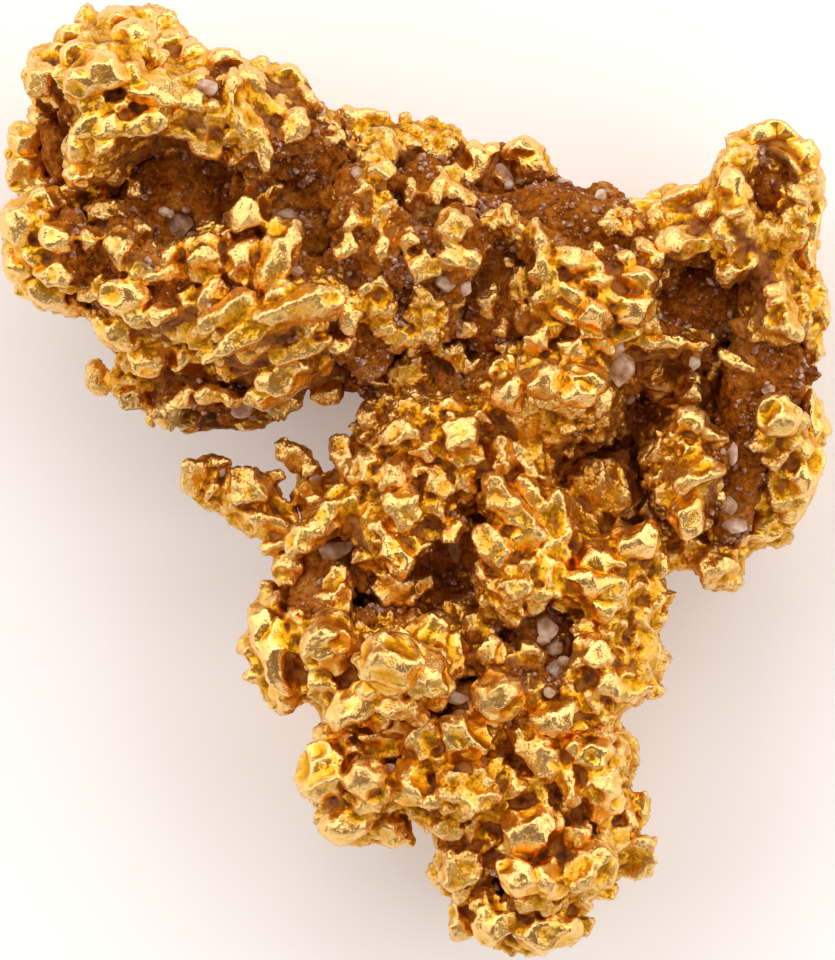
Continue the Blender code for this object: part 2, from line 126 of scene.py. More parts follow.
# Hollows worn into the core before anything is laid on it: x, y, half width, half depth, turn and the
# height of the floor in mm
CORE_HOLLOWS = (
    (180, 197, 70, 58, 0, 9.4), (300, 205, 46, 60, 0, 11.0), (62, 145, 16, 50, 0, 8.5),
    (200, 285, 130, 38, 8, 12.6), (772, 190, 28, 38, 0, 7.5), (705, 300, 62, 46, 0, 8.6),
)

# Notches in the outline, cut right through the core: x, y, half width, half depth and turn
CORE_NOTCHES = (
    (222, 440, 32, 13, 0), (312, 398, 7, 12, 0), (366, 398, 22, 12, -20), (290, 490, 8, 15, 0),
    (303, 520, 4, 14, 15), (312, 724, 13, 19, 20), (640, 722, 21, 15, 0), (648, 768, 9, 28, 0),
    (654, 836, 12, 9, 0), (776, 569, 31, 22, 0),
)

# Windows that no small crystals grow in, so that their earth stays open: x, y, half width and half depth
CLEAR_WINDOWS = (
    (180, 197, 70, 54), (300, 205, 46, 60), (112, 262, 40, 42), (62, 145, 16, 50), (772, 190, 28, 38),
    (705, 300, 60, 46), (738, 456, 20, 66), (612, 462, 50, 46), (334, 566, 38, 44), (444, 578, 44, 38),
    (538, 642, 30, 44), (520, 885, 44, 34),
)

# Parts where earth covers the skin between the lumps: x, y, half width and half depth
EARTHY_PARTS = (
    (480, 260, 150, 130), (210, 250, 130, 120), (230, 395, 110, 40), (62, 145, 18, 56), (260, 130, 70, 70),
    (705, 320, 80, 100), (740, 450, 40, 90), (616, 470, 60, 60), (772, 190, 30, 42), (334, 566, 44, 50),
    (444, 578, 50, 44), (538, 642, 36, 50), (520, 885, 50, 40), (370, 350, 50, 50), (590, 240, 70, 50),
)

# ---------------------------------------------------------------- the lumps
# Each row is x, y, length, width and, where they matter, a turn in degrees anticlockwise and a lift.

LEFT_ARM = {
    "crystal": (
        (37, 60, 28, 25), (47, 80, 30, 34), (65, 53, 36, 22, 20), (74, 35, 34, 18, 25), (93, 17, 24, 22),
        (172, 25, 38, 24, -25), (90, 51, 32, 24, 70), (84, 96, 26, 20), (137, 80, 28, 28),
        (148, 18, 32, 28), (196, 106, 26, 18, -30), (115, 150, 26, 20), (75, 195, 32, 20),
        (110, 185, 30, 22, 80), (138, 192, 22, 14, 90), (110, 215, 38, 26), (60, 275, 42, 30),
        (76, 290, 30, 24, 80), (178, 257, 30, 26), (214, 226, 28, 22, 20), (228, 237, 24, 16, -10),
        (210, 256, 42, 34, -60, 4), (108, 284, 14, 9), (165, 316, 34, 20), (95, 373, 16, 22),
        (112, 376, 18, 14), (135, 403, 30, 22), (190, 430, 16, 12), (258, 88, 42, 24, -60),
        (235, 92, 34, 20, 90), (264, 68, 24, 18), (312, 99, 28, 20, -40), (281, 112, 26, 11, 90),
        (300, 130, 34, 22, 85), (333, 145, 18, 11), (275, 192, 26, 17, 85), (292, 240, 20, 18),
        (357, 225, 30, 24, 70), (350, 250, 24, 20), (385, 250, 30, 20, 80), (411, 243, 26, 20, 80),
        (355, 157, 28, 26), (383, 178, 28, 22), (368, 192, 20, 14), (345, 346, 30, 22, 20),
        (325, 363, 26, 20, 80), (330, 309, 28, 24, 0, 4), (126, 252, 44, 30, 80), (240, 342, 34, 14, 20),
        (226, 352, 40, 12, 25), (212, 340, 34, 12, 30), (250, 330, 44, 13, 20), (230, 385, 42, 20, -15),
        (214, 396, 26, 16), (188, 397, 28, 20, 80), (172, 415, 32, 28), (250, 424, 26, 14),
        (284, 408, 40, 22, 10), (330, 394, 36, 22, 20), (232, 400, 26, 14, -20), (384, 382, 34, 14, -35),
        (392, 402, 18, 12, -20), (102, 110, 40, 26, -20), (124, 112, 26, 22), (60, 100, 22, 16),
        (44, 118, 20, 14, 40), (250, 118, 20, 14), (240, 160, 22, 12, 60), (160, 60, 26, 20),
        (206, 84, 24, 20), (205, 66, 26, 18, 30), (216, 112, 16, 14), (128, 402, 14, 22), (98, 200, 22, 18),
        (366, 296, 30, 20, 60), (384, 286, 22, 18), (392, 306, 20, 24), (352, 322, 16, 30),
        (306, 376, 36, 24, 40), (146, 230, 22, 16), (96, 244, 26, 22), (270, 330, 30, 12, 20),
    ),
    "pebble": (
        (120, 20, 40, 34, 0, 4), (26, 226, 46, 52, 0, 2), (46, 206, 38, 28, 20, 1), (62, 243, 32, 30, 0, 3),
        (40, 254, 40, 28, -30, 2), (47, 228, 28, 26, 0, 4), (86, 60, 40, 32, 40, 4),
        (112, 76, 46, 40, 0, 6), (92, 88, 38, 30, -10, 4), (140, 44, 42, 34, 10, 4), (72, 82, 24, 24, 0, 2),
        (175, 44, 36, 34, -30, 2), (198, 59, 36, 32, -30, 3), (160, 97, 58, 26, -12, 3),
        (206, 141, 52, 32, -32, 4), (130, 299, 48, 32, -8, 3), (27, 140, 36, 34), (30, 166, 34, 28),
        (24, 270, 34, 34), (108, 322, 22, 34, 10), (100, 128, 40, 22, 35), (292, 82, 42, 34, -25, 2),
        (230, 62, 40, 26, 10), (252, 216, 42, 48, 0, 6), (276, 396, 46, 26, 20, 2), (228, 384, 34, 18, -20),
        (148, 372, 24, 14, -20), (86, 150, 24, 34), (86, 178, 26, 22), (38, 190, 44, 24, 20),
        (28, 290, 30, 22, -30), (120, 132, 40, 20, 15),
    ),
    "rod": (
        (247, 262, 44, 24, 86, 4), (282, 262, 82, 24, 74, 6), (240, 311, 46, 20, 16, 4),
        (300, 312, 96, 25, 14, 5), (190, 303, 28, 12, 88), (214, 300, 38, 22, 62, 3),
        (172, 277, 56, 13, 6, 2), (210, 272, 34, 12, 20, 2), (240, 122, 26, 11, -60),
        (258, 134, 34, 11, -48), (270, 158, 32, 10, -75), (247, 342, 60, 13, 22, 2),
        (304, 350, 66, 13, 20, 2), (288, 296, 40, 12, 25, 3), (368, 118, 52, 17, 0, 2),
        (150, 128, 46, 15, 5, 3), (184, 134, 40, 16, -10, 3), (312, 330, 18, 10, 50),
        (262, 288, 36, 11, 70, 2), (222, 318, 44, 12, 40, 2), (203, 330, 42, 11, 50, 2),
    ),
    "crust": (
        (355, 132, 46, 28), (378, 155, 44, 28, -60), (370, 310, 50, 40), (386, 215, 22, 34, -20),
        (255, 106, 34, 18), (298, 130, 26, 34), (250, 140, 38, 34), (316, 292, 56, 18, 8),
        (130, 382, 48, 18, -12), (62, 300, 34, 24, -20), (40, 80, 26, 30), (330, 396, 34, 18, 15),
        (222, 376, 30, 20), (166, 420, 34, 18),
    ),
    "hopper": (
        (121, 334, 46, 38, -40, 5), (147, 357, 44, 36, -50, 6), (195, 358, 42, 36, 0, 5),
        (288, 378, 66, 44, 32, 6), (70, 304, 36, 30, 0, 3), (262, 393, 34, 24, 20, 4),
        (50, 288, 56, 40, -25, 0),
    ),
    "shell": ((52, 66, 26, 22), (146, 62, 30, 28), (27, 178, 34, 34, 0, 2), (320, 326, 18, 18)),
}
RIGHT_ARM = {
    "crystal": (
        (412, 198, 28, 20, 80), (441, 190, 34, 20, 85), (462, 200, 34, 26, -50), (492, 148, 18, 14),
        (458, 230, 36, 32, -20, 3), (507, 221, 28, 22, 90), (540, 243, 38, 28, 90, 4), (455, 250, 18, 14),
        (424, 266, 36, 28), (474, 271, 18, 14), (388, 330, 18, 16), (400, 346, 22, 16),
        (455, 358, 34, 24, 90), (489, 303, 34, 20, 85), (526, 284, 34, 24, 85, 3), (548, 296, 30, 30, 0, 3),
        (575, 262, 34, 24, -15, 3), (600, 285, 30, 20, 0, 3), (540, 343, 36, 26, 10, 3),
        (577, 350, 36, 28, 0, 3), (596, 370, 28, 20, -30), (485, 365, 34, 24), (490, 388, 20, 18),
        (600, 402, 32, 20, 90), (568, 430, 20, 17), (525, 424, 14, 12), (655, 226, 30, 24, 90),
        (678, 245, 46, 26, -10, 2), (648, 253, 20, 18), (670, 272, 22, 16), (656, 262, 16, 14),
        (775, 166, 22, 18), (790, 196, 26, 20, 80), (745, 142, 32, 26, -10), (722, 232, 22, 20),
        (705, 245, 20, 18), (738, 270, 44, 38, 0, 3), (775, 300, 34, 20, 85), (785, 330, 34, 28),
        (720, 366, 44, 20, -30), (697, 388, 34, 28), (700, 477, 52, 36, 0, 2), (690, 542, 26, 18, 10),
        (768, 498, 42, 32, 20), (765, 448, 20, 13), (780, 457, 16, 14), (716, 571, 46, 40),
        (730, 580, 22, 22, 0, 2), (552, 288, 20, 40, 0, 2), (560, 330, 34, 18, 30), (590, 330, 30, 18, -30),
        (628, 330, 32, 16, 15), (652, 345, 24, 18), (814, 300, 26, 30), (820, 350, 32, 15, 88),
        (804, 452, 26, 20), (792, 520, 34, 22, 40), (752, 540, 34, 18, 10), (700, 560, 40, 24, -30),
        (700, 350, 26, 12, 10), (660, 372, 34, 14), (664, 394, 38, 14, -15), (676, 410, 26, 18),
        (716, 440, 24, 18, -20), (664, 452, 18, 20), (658, 480, 16, 26), (652, 512, 16, 30, 10),
        (720, 500, 20, 24), (676, 498, 24, 22), (716, 536, 18, 22), (796, 238, 26, 18), (770, 232, 24, 16),
        (750, 214, 24, 20), (736, 214, 22, 18, 40), (598, 252, 18, 16), (628, 262, 20, 14),
        (512, 262, 14, 12), (528, 312, 18, 16), (504, 330, 16, 14), (470, 330, 20, 16),
        (612, 300, 24, 20, 0, 2), (660, 300, 20, 24), (508, 348, 20, 14), (470, 180, 18, 14),
    ),
    "pebble": (
        (480, 160, 42, 28, 82, 2), (525, 147, 36, 23, 8, 2), (513, 396, 34, 40, 0, 2),
        (548, 384, 36, 32, 0, 4), (578, 393, 42, 30, -5, 4), (588, 384, 44, 34, 0, 4),
        (640, 281, 38, 24, -35, 3), (596, 318, 36, 28, -35, 5), (636, 312, 42, 32, 15, 4),
        (784, 132, 46, 22, -14, 2), (808, 152, 36, 22, -48, 2), (819, 184, 46, 20, -84, 2),
        (817, 222, 46, 22, 80, 2), (812, 252, 34, 20, 85, 2), (762, 134, 34, 22, 6, 2),
        (817, 420, 58, 20, 88, 2), (810, 472, 54, 30, 70, 2), (800, 504, 44, 28, 55, 2),
        (688, 516, 46, 36, 75, 3), (772, 526, 50, 30, 30), (826, 312, 42, 15, 90, 2),
        (545, 272, 30, 34, 0, 3), (575, 295, 40, 20, -40, 4), (572, 318, 52, 20, -25, 3),
        (736, 188, 34, 28, -60, 2), (710, 213, 26, 22, 0, 2),
    ),
    "rod": (
        (508, 186, 36, 9, -45, 2), (460, 262, 42, 14, -15, 2), (652, 205, 44, 14, 10, 2),
        (690, 196, 56, 16, 14, 2), (738, 364, 40, 9, -38, 2), (676, 344, 44, 10, 8, 2),
        (666, 384, 48, 11, -8, 2), (562, 306, 42, 10, -45, 3), (546, 318, 34, 9, -50, 3),
        (600, 342, 40, 12, -20, 3), (584, 268, 46, 12, -12, 3), (786, 214, 36, 14, 80, 2),
    ),
    "crust": (
        (410, 132, 52, 28, -5), (440, 135, 36, 26, -30), (440, 153, 22, 18), (538, 166, 46, 28, -25),
        (430, 312, 46, 44), (426, 340, 50, 30), (410, 372, 46, 38), (625, 222, 42, 28, 10),
        (738, 196, 34, 54), (596, 424, 34, 26), (660, 460, 24, 50), (812, 296, 30, 44), (816, 345, 22, 36),
        (562, 404, 60, 22, -5), (786, 228, 50, 26), (808, 250, 22, 26), (724, 250, 26, 22),
        (600, 352, 30, 22), (640, 330, 44, 18, 10), (684, 430, 30, 30), (716, 206, 34, 20, 20),
        (452, 176, 22, 16), (494, 222, 20, 16),
    ),
    "shell": (
        (505, 371, 26, 24, 0, 2), (690, 426, 38, 32, 0, 2), (698, 392, 36, 38), (780, 418, 44, 42, 0, 3),
        (690, 450, 24, 20),
    ),
}
LEG = {
    "crystal": (
        (373, 415, 32, 24, 80), (405, 433, 42, 24), (385, 442, 24, 20), (455, 410, 24, 20),
        (462, 437, 38, 32, 80, 2), (430, 450, 28, 26), (488, 425, 28, 13, -45), (346, 462, 46, 30, 88, 2),
        (372, 470, 36, 34, 0, 4), (396, 478, 38, 34, 30, 4), (405, 508, 46, 38, 60, 3),
        (440, 485, 30, 30, 0, 2), (466, 480, 34, 28, 80), (465, 457, 38, 22), (444, 512, 30, 14, 60),
        (456, 530, 30, 14, 75), (548, 465, 26, 14, 80), (595, 435, 26, 22), (197, 476, 32, 30),
        (252, 486, 46, 34, 10), (265, 528, 60, 26, -15), (280, 550, 32, 20), (300, 460, 34, 26, -40),
        (312, 500, 28, 26), (342, 592, 46, 24, 85), (370, 560, 20, 16), (395, 587, 42, 36, 0, 2),
        (467, 614, 44, 34, 0, 3), (458, 665, 48, 24, 80, 2), (490, 660, 34, 26, 85),
        (528, 660, 40, 34, 80, 2), (575, 615, 30, 22, 85), (590, 640, 32, 20, -50), (655, 600, 46, 26, 85),
        (652, 660, 46, 34, 80), (655, 695, 24, 20), (627, 690, 34, 28), (621, 757, 36, 22, 80),
        (630, 815, 40, 26, 80), (646, 808, 24, 16, 80), (485, 840, 30, 24), (595, 868, 54, 46, 80),
        (638, 861, 42, 36), (457, 872, 46, 42, 80), (462, 928, 34, 26, 80), (530, 905, 24, 14),
        (385, 750, 36, 24), (420, 788, 38, 34), (444, 798, 32, 30), (400, 706, 40, 22),
        (380, 716, 30, 20, 40), (420, 712, 30, 20, -30), (392, 836, 34, 16), (410, 840, 26, 12, -45),
        (214, 464, 34, 14), (232, 506, 34, 18, -55), (216, 492, 18, 26), (276, 478, 18, 14),
        (283, 450, 14, 20), (318, 470, 22, 16), (268, 600, 24, 34, -20), (432, 416, 22, 20),
        (420, 470, 22, 24), (384, 528, 24, 20), (420, 548, 22, 22), (500, 590, 26, 24), (536, 600, 26, 24),
        (514, 616, 26, 20), (532, 574, 22, 26), (486, 574, 20, 18), (560, 640, 16, 14), (604, 610, 30, 22),
        (584, 590, 30, 24), (566, 598, 24, 24), (612, 590, 34, 20, 10), (500, 720, 24, 18),
        (484, 712, 20, 22), (520, 740, 26, 20), (492, 768, 26, 22), (512, 788, 30, 22), (480, 800, 30, 22),
        (546, 796, 26, 24), (560, 812, 26, 20), (500, 812, 24, 20), (450, 762, 24, 18), (574, 840, 24, 26),
        (612, 842, 26, 24), (604, 896, 30, 22), (580, 908, 28, 22), (440, 850, 20, 24), (468, 896, 26, 24),
        (488, 906, 22, 24), (508, 918, 26, 22), (590, 700, 26, 22), (603, 712, 24, 24), (600, 736, 30, 22),
        (582, 752, 28, 24), (640, 640, 26, 20), (640, 620, 24, 22), (560, 550, 24, 40), (440, 700, 24, 22),
        (340, 740, 30, 18), (356, 756, 24, 18), (362, 812, 26, 20),
    ),
    "pebble": (
        (332, 642, 46, 54, 0, 4), (429, 640, 44, 44, 0, 5), (430, 677, 46, 42, 0, 5),
        (467, 738, 50, 46, 0, 5), (600, 560, 50, 34, 16, 4), (640, 543, 48, 32, 22, 5),
        (590, 585, 58, 26, 0, 3), (594, 655, 38, 34, 0, 4), (607, 685, 34, 34, 0, 4),
        (500, 697, 46, 46, 0, 3), (596, 758, 34, 32, 0, 4), (604, 787, 32, 34, 0, 3),
        (560, 720, 54, 32, 12, 4), (280, 658, 30, 78, 10, 0), (268, 640, 26, 70, 12, 2),
        (282, 700, 30, 22, -50), (400, 556, 28, 44, 0, 2), (606, 806, 30, 34, 0, 2),
        (520, 540, 24, 30, 0, 2), (660, 566, 22, 34, 0, 2), (380, 736, 34, 20, 0, 2),
        (344, 716, 34, 28, 30, 4),
    ),
    "rod": (
        (517, 518, 96, 22, -57, 6), (530, 462, 66, 18, -57, 8), (500, 456, 42, 26, -60, 3),
        (562, 520, 56, 22, -76, 4), (500, 545, 40, 22, -60, 3), (326, 524, 92, 20, 46, 4),
        (540, 752, 60, 20, -52, 2), (604, 488, 68, 44, -78, 16), (540, 506, 70, 15, -60, 5),
        (503, 500, 60, 14, -62, 4), (300, 552, 44, 16, 60, 3), (552, 572, 56, 20, -80, 2),
        (416, 590, 36, 12, 40), (386, 690, 50, 12, 10, 3), (404, 728, 44, 12, -10, 2),
        (372, 800, 40, 12, 20), (570, 780, 50, 12, -70, 3),
    ),
    "crust": (
        (408, 412, 42, 38), (400, 552, 30, 46), (520, 590, 56, 56), (605, 602, 36, 22), (500, 780, 70, 40),
        (490, 814, 56, 30), (540, 790, 40, 40), (455, 790, 40, 34), (395, 724, 60, 30), (342, 592, 26, 46),
        (500, 700, 30, 30), (450, 880, 34, 34), (590, 880, 40, 40), (610, 840, 30, 30), (245, 500, 50, 24),
        (378, 790, 44, 22), (576, 700, 34, 26), (430, 760, 36, 20), (560, 910, 40, 24),
    ),
    "hopper": (
        (395, 664, 60, 56, -20, 7), (358, 706, 66, 36, 40, 5), (328, 679, 28, 26, 0, 6),
        (534, 832, 64, 52, 15, 6), (521, 877, 34, 40, 70, 5), (551, 879, 36, 38, 80, 5),
        (428, 742, 46, 50, 0, 5), (322, 771, 48, 56, 0, 4), (366, 778, 38, 38, 0, 5),
        (347, 826, 46, 42, 0, 3), (398, 838, 40, 26, -20, 1), (496, 927, 38, 44, 0, 4),
        (550, 936, 66, 42, 0, 3), (419, 786, 48, 40, 0, 4),
    ),
    "shell": (
        (332, 648, 44, 48, 0, 6), (420, 782, 36, 34, 0, 3), (484, 838, 30, 28, 0, 2),
        (626, 690, 30, 30, 0, 3), (286, 572, 30, 34, 0, 2),
    ),
}

# Earth seen between the lumps: x, y, half width, half depth, turn and lift
EARTH_PATCHES = {
    "earth_left_bowl": (
        (196, 196, 74, 54, 0, 4), (300, 232, 58, 58, 0, 4), (106, 254, 30, 44, 0, 2),
        (322, 166, 34, 44, 0, 2), (312, 268, 44, 24, 0, 2), (292, 158, 26, 40, 0, 0),
        (212, 96, 16, 14, 0, 0), (346, 190, 26, 34, 0, 0), (150, 276, 70, 34, 0, 2),
        (262, 282, 70, 34, 8, 2), (90, 262, 30, 40, 0, 2),
    ),
    "earth_upper_left": ((62, 140, 22, 50, 0, 3), (52, 116, 18, 22, 0, 2), (66, 176, 16, 22, 0, 2)),
    "earth_saddle": (
        (428, 208, 48, 52, 0, 4), (500, 292, 50, 60, 0, 3), (560, 222, 62, 36, -20, 4),
        (470, 246, 56, 30, 0, 3), (590, 246, 56, 26, -10, 3), (452, 168, 40, 22, 0, 2),
        (604, 206, 44, 16, -8, 2), (504, 176, 22, 26, 0, 2), (636, 252, 26, 22, 0, 0),
        (466, 318, 36, 32, 0, 2), (404, 290, 26, 40, 0, 0), (520, 236, 44, 34, 0, 3),
        (424, 330, 34, 46, 0, 0), (384, 258, 46, 40, 0, 3), (440, 262, 40, 26, 0, 2),
    ),
    "earth_right_hollow": (
        (704, 300, 60, 48, 0, 4), (790, 362, 32, 18, 0, 2), (738, 456, 18, 64, 0, 2),
        (732, 514, 22, 34, 0, 2), (706, 346, 46, 30, 0, 2), (680, 270, 36, 26, 0, 0),
        (750, 362, 40, 26, 0, 2), (700, 448, 30, 26, 0, 0), (640, 366, 20, 40, 0, 0),
    ),
    "earth_crest_hollow": ((770, 190, 28, 40, 0, 1),),
    "earth_central_hollow": ((612, 470, 56, 54, 0, 0), (480, 520, 16, 44, 0, 0), (468, 386, 36, 10, 0, 0)),
    "earth_lower_hollow": ((334, 566, 40, 48, 0, 2), (318, 606, 28, 34, 0, 2), (364, 600, 26, 34, 0, 0)),
    "earth_leg": (
        (444, 578, 48, 40, 0, 3), (538, 642, 42, 52, 0, 2), (466, 560, 30, 40, 0, 0),
        (492, 640, 26, 20, 0, 0), (560, 690, 20, 22, 0, 0), (380, 620, 24, 16, 0, 0),
    ),
    "earth_leg_front": ((470, 704, 40, 24, 0, 0), (516, 738, 26, 24, 0, 0), (392, 776, 14, 20, 0, 0)),
    "earth_foot": ((500, 884, 34, 30, 0, 2), (540, 900, 22, 12, 0, 0)),
    "earth_arm_notch": ((368, 354, 34, 34, 0, 2), (390, 384, 24, 18, 0, 0), (346, 330, 26, 20, 0, 0)),
    "earth_under_arm": ((222, 400, 48, 18, -5, 2), (246, 408, 30, 14, 0, 2), (300, 342, 34, 10, 12, 0)),
}

# Quartz grains: x, y, length, width, turn and lift, under the name of the model's grain that is among them
QUARTZ_GRAINS = {
    "quartz_bowl": ((183, 227, 28, 26), (168, 214, 12, 10), (196, 238, 12, 10)),
    "quartz_bowl_right": ((290, 220, 27, 21), (300, 275, 14, 12), (330, 216, 10, 8), (268, 236, 9, 8)),
    "quartz_saddle_round": ((449, 285, 22, 21), (467, 290, 14, 19), (448, 270, 10, 8)),
    "quartz_ledge": ((505, 176, 34, 18, -50), (565, 183, 20, 10), (603, 200, 14, 20), (524, 180, 12, 10)),
    "quartz_under_arm": ((243, 410, 24, 21), (262, 402, 10, 8)),
    "quartz_leg_upper": (
        (550, 630, 22, 26, 0, 10), (556, 650, 18, 16, 0, 12), (546, 642, 14, 12, 0, 12),
        (566, 664, 14, 12, 0, 10),
    ),
    "quartz_leg_lower": ((558, 677, 22, 32, 0, 10), (552, 694, 12, 12, 0, 10)),
    "quartz_right": ((732, 508, 16, 22), (737, 528, 26, 16), (733, 456, 12, 24), (770, 392, 14, 12)),
}
LOOSE_QUARTZ = (
    (623, 372, 28, 36, 0, 8), (617, 350, 18, 16, 0, 8), (632, 398, 14, 16, 0, 6), (212, 92, 24, 18),
    (322, 112, 14, 22), (697, 365, 12, 16), (458, 548, 14, 36), (340, 550, 36, 22, 20), (393, 775, 18, 20),
    (460, 700, 24, 14), (590, 842, 24, 12), (640, 685, 12, 18), (222, 474, 12, 14), (318, 482, 14, 12),
    (376, 686, 10, 8), (470, 716, 12, 10), (516, 742, 12, 10), (360, 176, 12, 14), (690, 330, 10, 10),
    (660, 318, 9, 9),
)

# ---------------------------------------------------------------- small tools


def at(x, y, z=0.0):
    """A place on the plan grid, in metres. z is in grid steps too."""
    return Vector(((x - PLAN_CENTRE[0]) * GRID, (PLAN_CENTRE[1] - y) * GRID, z * GRID))


def plan_of(x, y):
    """Where places given in metres are on the plan grid."""
    return x / GRID + PLAN_CENTRE[0], PLAN_CENTRE[1] - y / GRID


def away_from(x, y, row, margin=0):
    """0 at the middle of an ellipse given by x, y, half width and half depth, and 1 at its rim."""
    return ((x - row[0]) / (row[2] + margin)) ** 2 + ((y - row[1]) / (row[3] + margin)) ** 2


def corners_of(box):
    """The low and the high corner of a box of the plan."""
    left, right, top, bottom = box
    return at(left, bottom), at(right, top)


def select_only(*objects):
    for other in bpy.context.view_layer.objects:
        other.select_set(False)
    for chosen in objects:
        chosen.select_set(True)
    bpy.context.view_layer.objects.active = objects[0] if objects else None


def join(objects, name):
    select_only(*objects)
    bpy.ops.object.join()
    joined = bpy.context.object
    joined.name = name
    joined.data.name = name
    return joined


def apply_modifier(piece, kind, **settings):
    select_only(piece)
    modifier = piece.modifiers.new(kind.lower(), kind)
    modifier.show_viewport = False  # so that it is worked out only once, as it is applied
    for key, value in settings.items():
        setattr(modifier, key, value)
    bpy.ops.object.modifier_apply(modifier=modifier.name)
    return piece


def cut(piece, cutter, operation="DIFFERENCE"):
    """Takes the cutter out of a piece, or keeps what is inside it, and throws the cutter away."""
    apply_modifier(piece, "BOOLEAN", operation=operation, object=cutter, solver="EXACT")
    bpy.data.objects.remove(cutter)


def fuse(piece, fineness, soften=1):
    """Joins everything in a piece into one closed skin of that fineness, and softens it."""
    apply_modifier(piece, "REMESH", mode="VOXEL", voxel_size=fineness)
    return apply_modifier(piece, "SMOOTH", factor=0.5, iterations=soften)


def points_of(mesh):
    points = np.empty(len(mesh.vertices) * 3, dtype=np.float32)
    mesh.vertices.foreach_get("co", points)
    return points.reshape(-1, 3)


def set_points(mesh, points):
    mesh.vertices.foreach_set("co", np.ascontiguousarray(points, dtype=np.float32).ravel())
    mesh.update()


def normals_of(mesh):
    normals = np.empty(len(mesh.vertices) * 3, dtype=np.float32)
    mesh.vertex_normals.foreach_get("vector", normals)
    return normals.reshape(-1, 3)


def copy_of(template, name="copy"):
    made = bpy.data.objects.new(name, template.data.copy())
    bpy.context.scene.collection.objects.link(made)
    return made


def merged_copy(node):
    """A copy of one of the model's solids, with its loose triangles joined up."""
    made = copy_of(frame["nodes"][node], node + "_copy")
    made.data.transform(frame["nodes"][node].matrix_world)
    select_only(made)
    bpy.ops.object.mode_set(mode="EDIT")
    bpy.ops.mesh.select_all(action="SELECT")
    bpy.ops.mesh.remove_doubles(threshold=1e-7)
    bpy.ops.object.mode_set(mode="OBJECT")
    return made


def tree_of(*pieces):
    """One search tree over the faces of several pieces."""
    points, faces = [], []
    for piece in pieces:
        start = len(points)
        points.extend(vert.co.copy() for vert in piece.data.vertices)
        faces.extend([start + corner for corner in face.vertices] for face in piece.data.polygons)
    return BVHTree.FromPolygons(points, faces)


def seat(tree, x, y):
    """The skin's highest place over a point of the plan or, beyond its edge, the nearest place."""
    hit, normal, _, _ = tree.ray_cast(at(x, y, ABOVE_ALL), DOWN)
    if hit is None:
        hit, normal, _, _ = tree.find_nearest(at(x, y, MID_HEIGHT))
        return Vector((at(x, y).x, at(x, y).y, hit.z)), normal
    return hit, normal


# ---------------------------------------------------------------- lumps modelled once


def start_ball(subdivisions, radius=1.0, place=(0, 0, 0)):
    select_only()
    bpy.ops.mesh.primitive_ico_sphere_add(subdivisions=subdivisions, radius=radius, location=place)
    return bpy.context.object


def random_direction(rng, least_rise=-1.0):
    while True:
        direction = Vector((rng.gauss(0, 1), rng.gauss(0, 1), rng.gauss(0, 1))).normalized()
        if direction.z >= least_rise:
            return direction


def cut_facets(rng, count, nearest, farthest, flat_x=1.0):
    """Grinds flat facets on a lump. flat_x below 1 turns them away from the lump's own x axis."""
    bpy.ops.object.mode_set(mode="EDIT")
    for _ in range(count):
        normal = random_direction(rng)
        normal = Vector((normal.x * flat_x, normal.y, normal.z)).normalized()
        place = normal * rng.uniform(nearest, farthest)
        bpy.ops.mesh.select_all(action="SELECT")
        bpy.ops.mesh.bisect(plane_co=place, plane_no=normal, use_fill=True, clear_outer=True)
    bpy.ops.object.mode_set(mode="OBJECT")


def scoop(shape, rng, count, radii, depths, least_rise=-1.0, roundness=3):
    """Takes bites out of a lump, which leaves hollow facets with sharp rims. Roundness 1: angular bites."""
    for _ in range(count):
        radius = rng.uniform(*radii)
        place = random_direction(rng, least_rise) * (0.85 + radius - rng.uniform(*depths))
        ball = start_ball(roundness, radius, place)
        ball.scale = (rng.uniform(0.7, 1.2), rng.uniform(0.7, 1.2), 1.0)
        if roundness == 1:
            ball.rotation_euler = (rng.uniform(0, 3), rng.uniform(0, 3), 0)
        cut(shape, ball)


def sink_faces(shape, rng, top_radii, top_depths, radii, depths, around=4):
    """Sinks a broad face in a lump's top and a ring of hollow faces round it, with ridges between them."""
    turn = rng.uniform(0, math.tau)
    for number in range(around + 1):
        if number == 0:
            direction = Vector((rng.gauss(0, 0.35), rng.gauss(0, 0.35), 1)).normalized()
            radius, depth = rng.uniform(*top_radii), rng.uniform(*top_depths)
        else:
            angle = turn + math.tau * number / around + rng.gauss(0, 0.35)
            rise = rng.uniform(0.1, 0.7)
            level = math.sqrt(1 - rise * rise)
            direction = Vector((level * math.cos(angle), level * math.sin(angle), rise))
            radius, depth = rng.uniform(*radii), rng.uniform(*depths)
        cut(shape, start_ball(3, radius, direction * (1.0 + radius - depth)))


def wear_down(shape, passes):
    """Rounds a lump's edges off evenly, as a river bed does, and thins its mesh again."""
    fuse(shape, LUMP_SKIN, passes)
    return apply_modifier(shape, "DECIMATE", ratio=LUMP_TRIANGLES / (2 * len(shape.data.polygons)))


def make_crystal(seed):
    """A stubby crystal: a ball ground to flat facets, some of them hollow, with worn edges."""
    rng = random.Random(seed)
    shape = start_ball(3)
    cut_facets(rng, 6, 0.45, 0.8)
    scoop(shape, rng, 5, radii=(0.6, 1.2), depths=(0.12, 0.28), least_rise=-0.3)
    return wear_down(shape, 2)


def make_bit(seed):
    """A small sharp crystal for the crusts."""
    rng = random.Random(seed)
    shape = start_ball(2)
    cut_facets(rng, 7, 0.45, 0.8)
    return shape


def make_pebble(seed):
    """A lump rolled smooth, with shallow dents and soft folds between them."""
    rng = random.Random(seed)
    shape = start_ball(3)
    cut_facets(rng, 4, 0.6, 0.85)
    scoop(shape, rng, 4, radii=(0.6, 1.3), depths=(0.1, 0.26), least_rise=0.0)
    return wear_down(shape, 2)


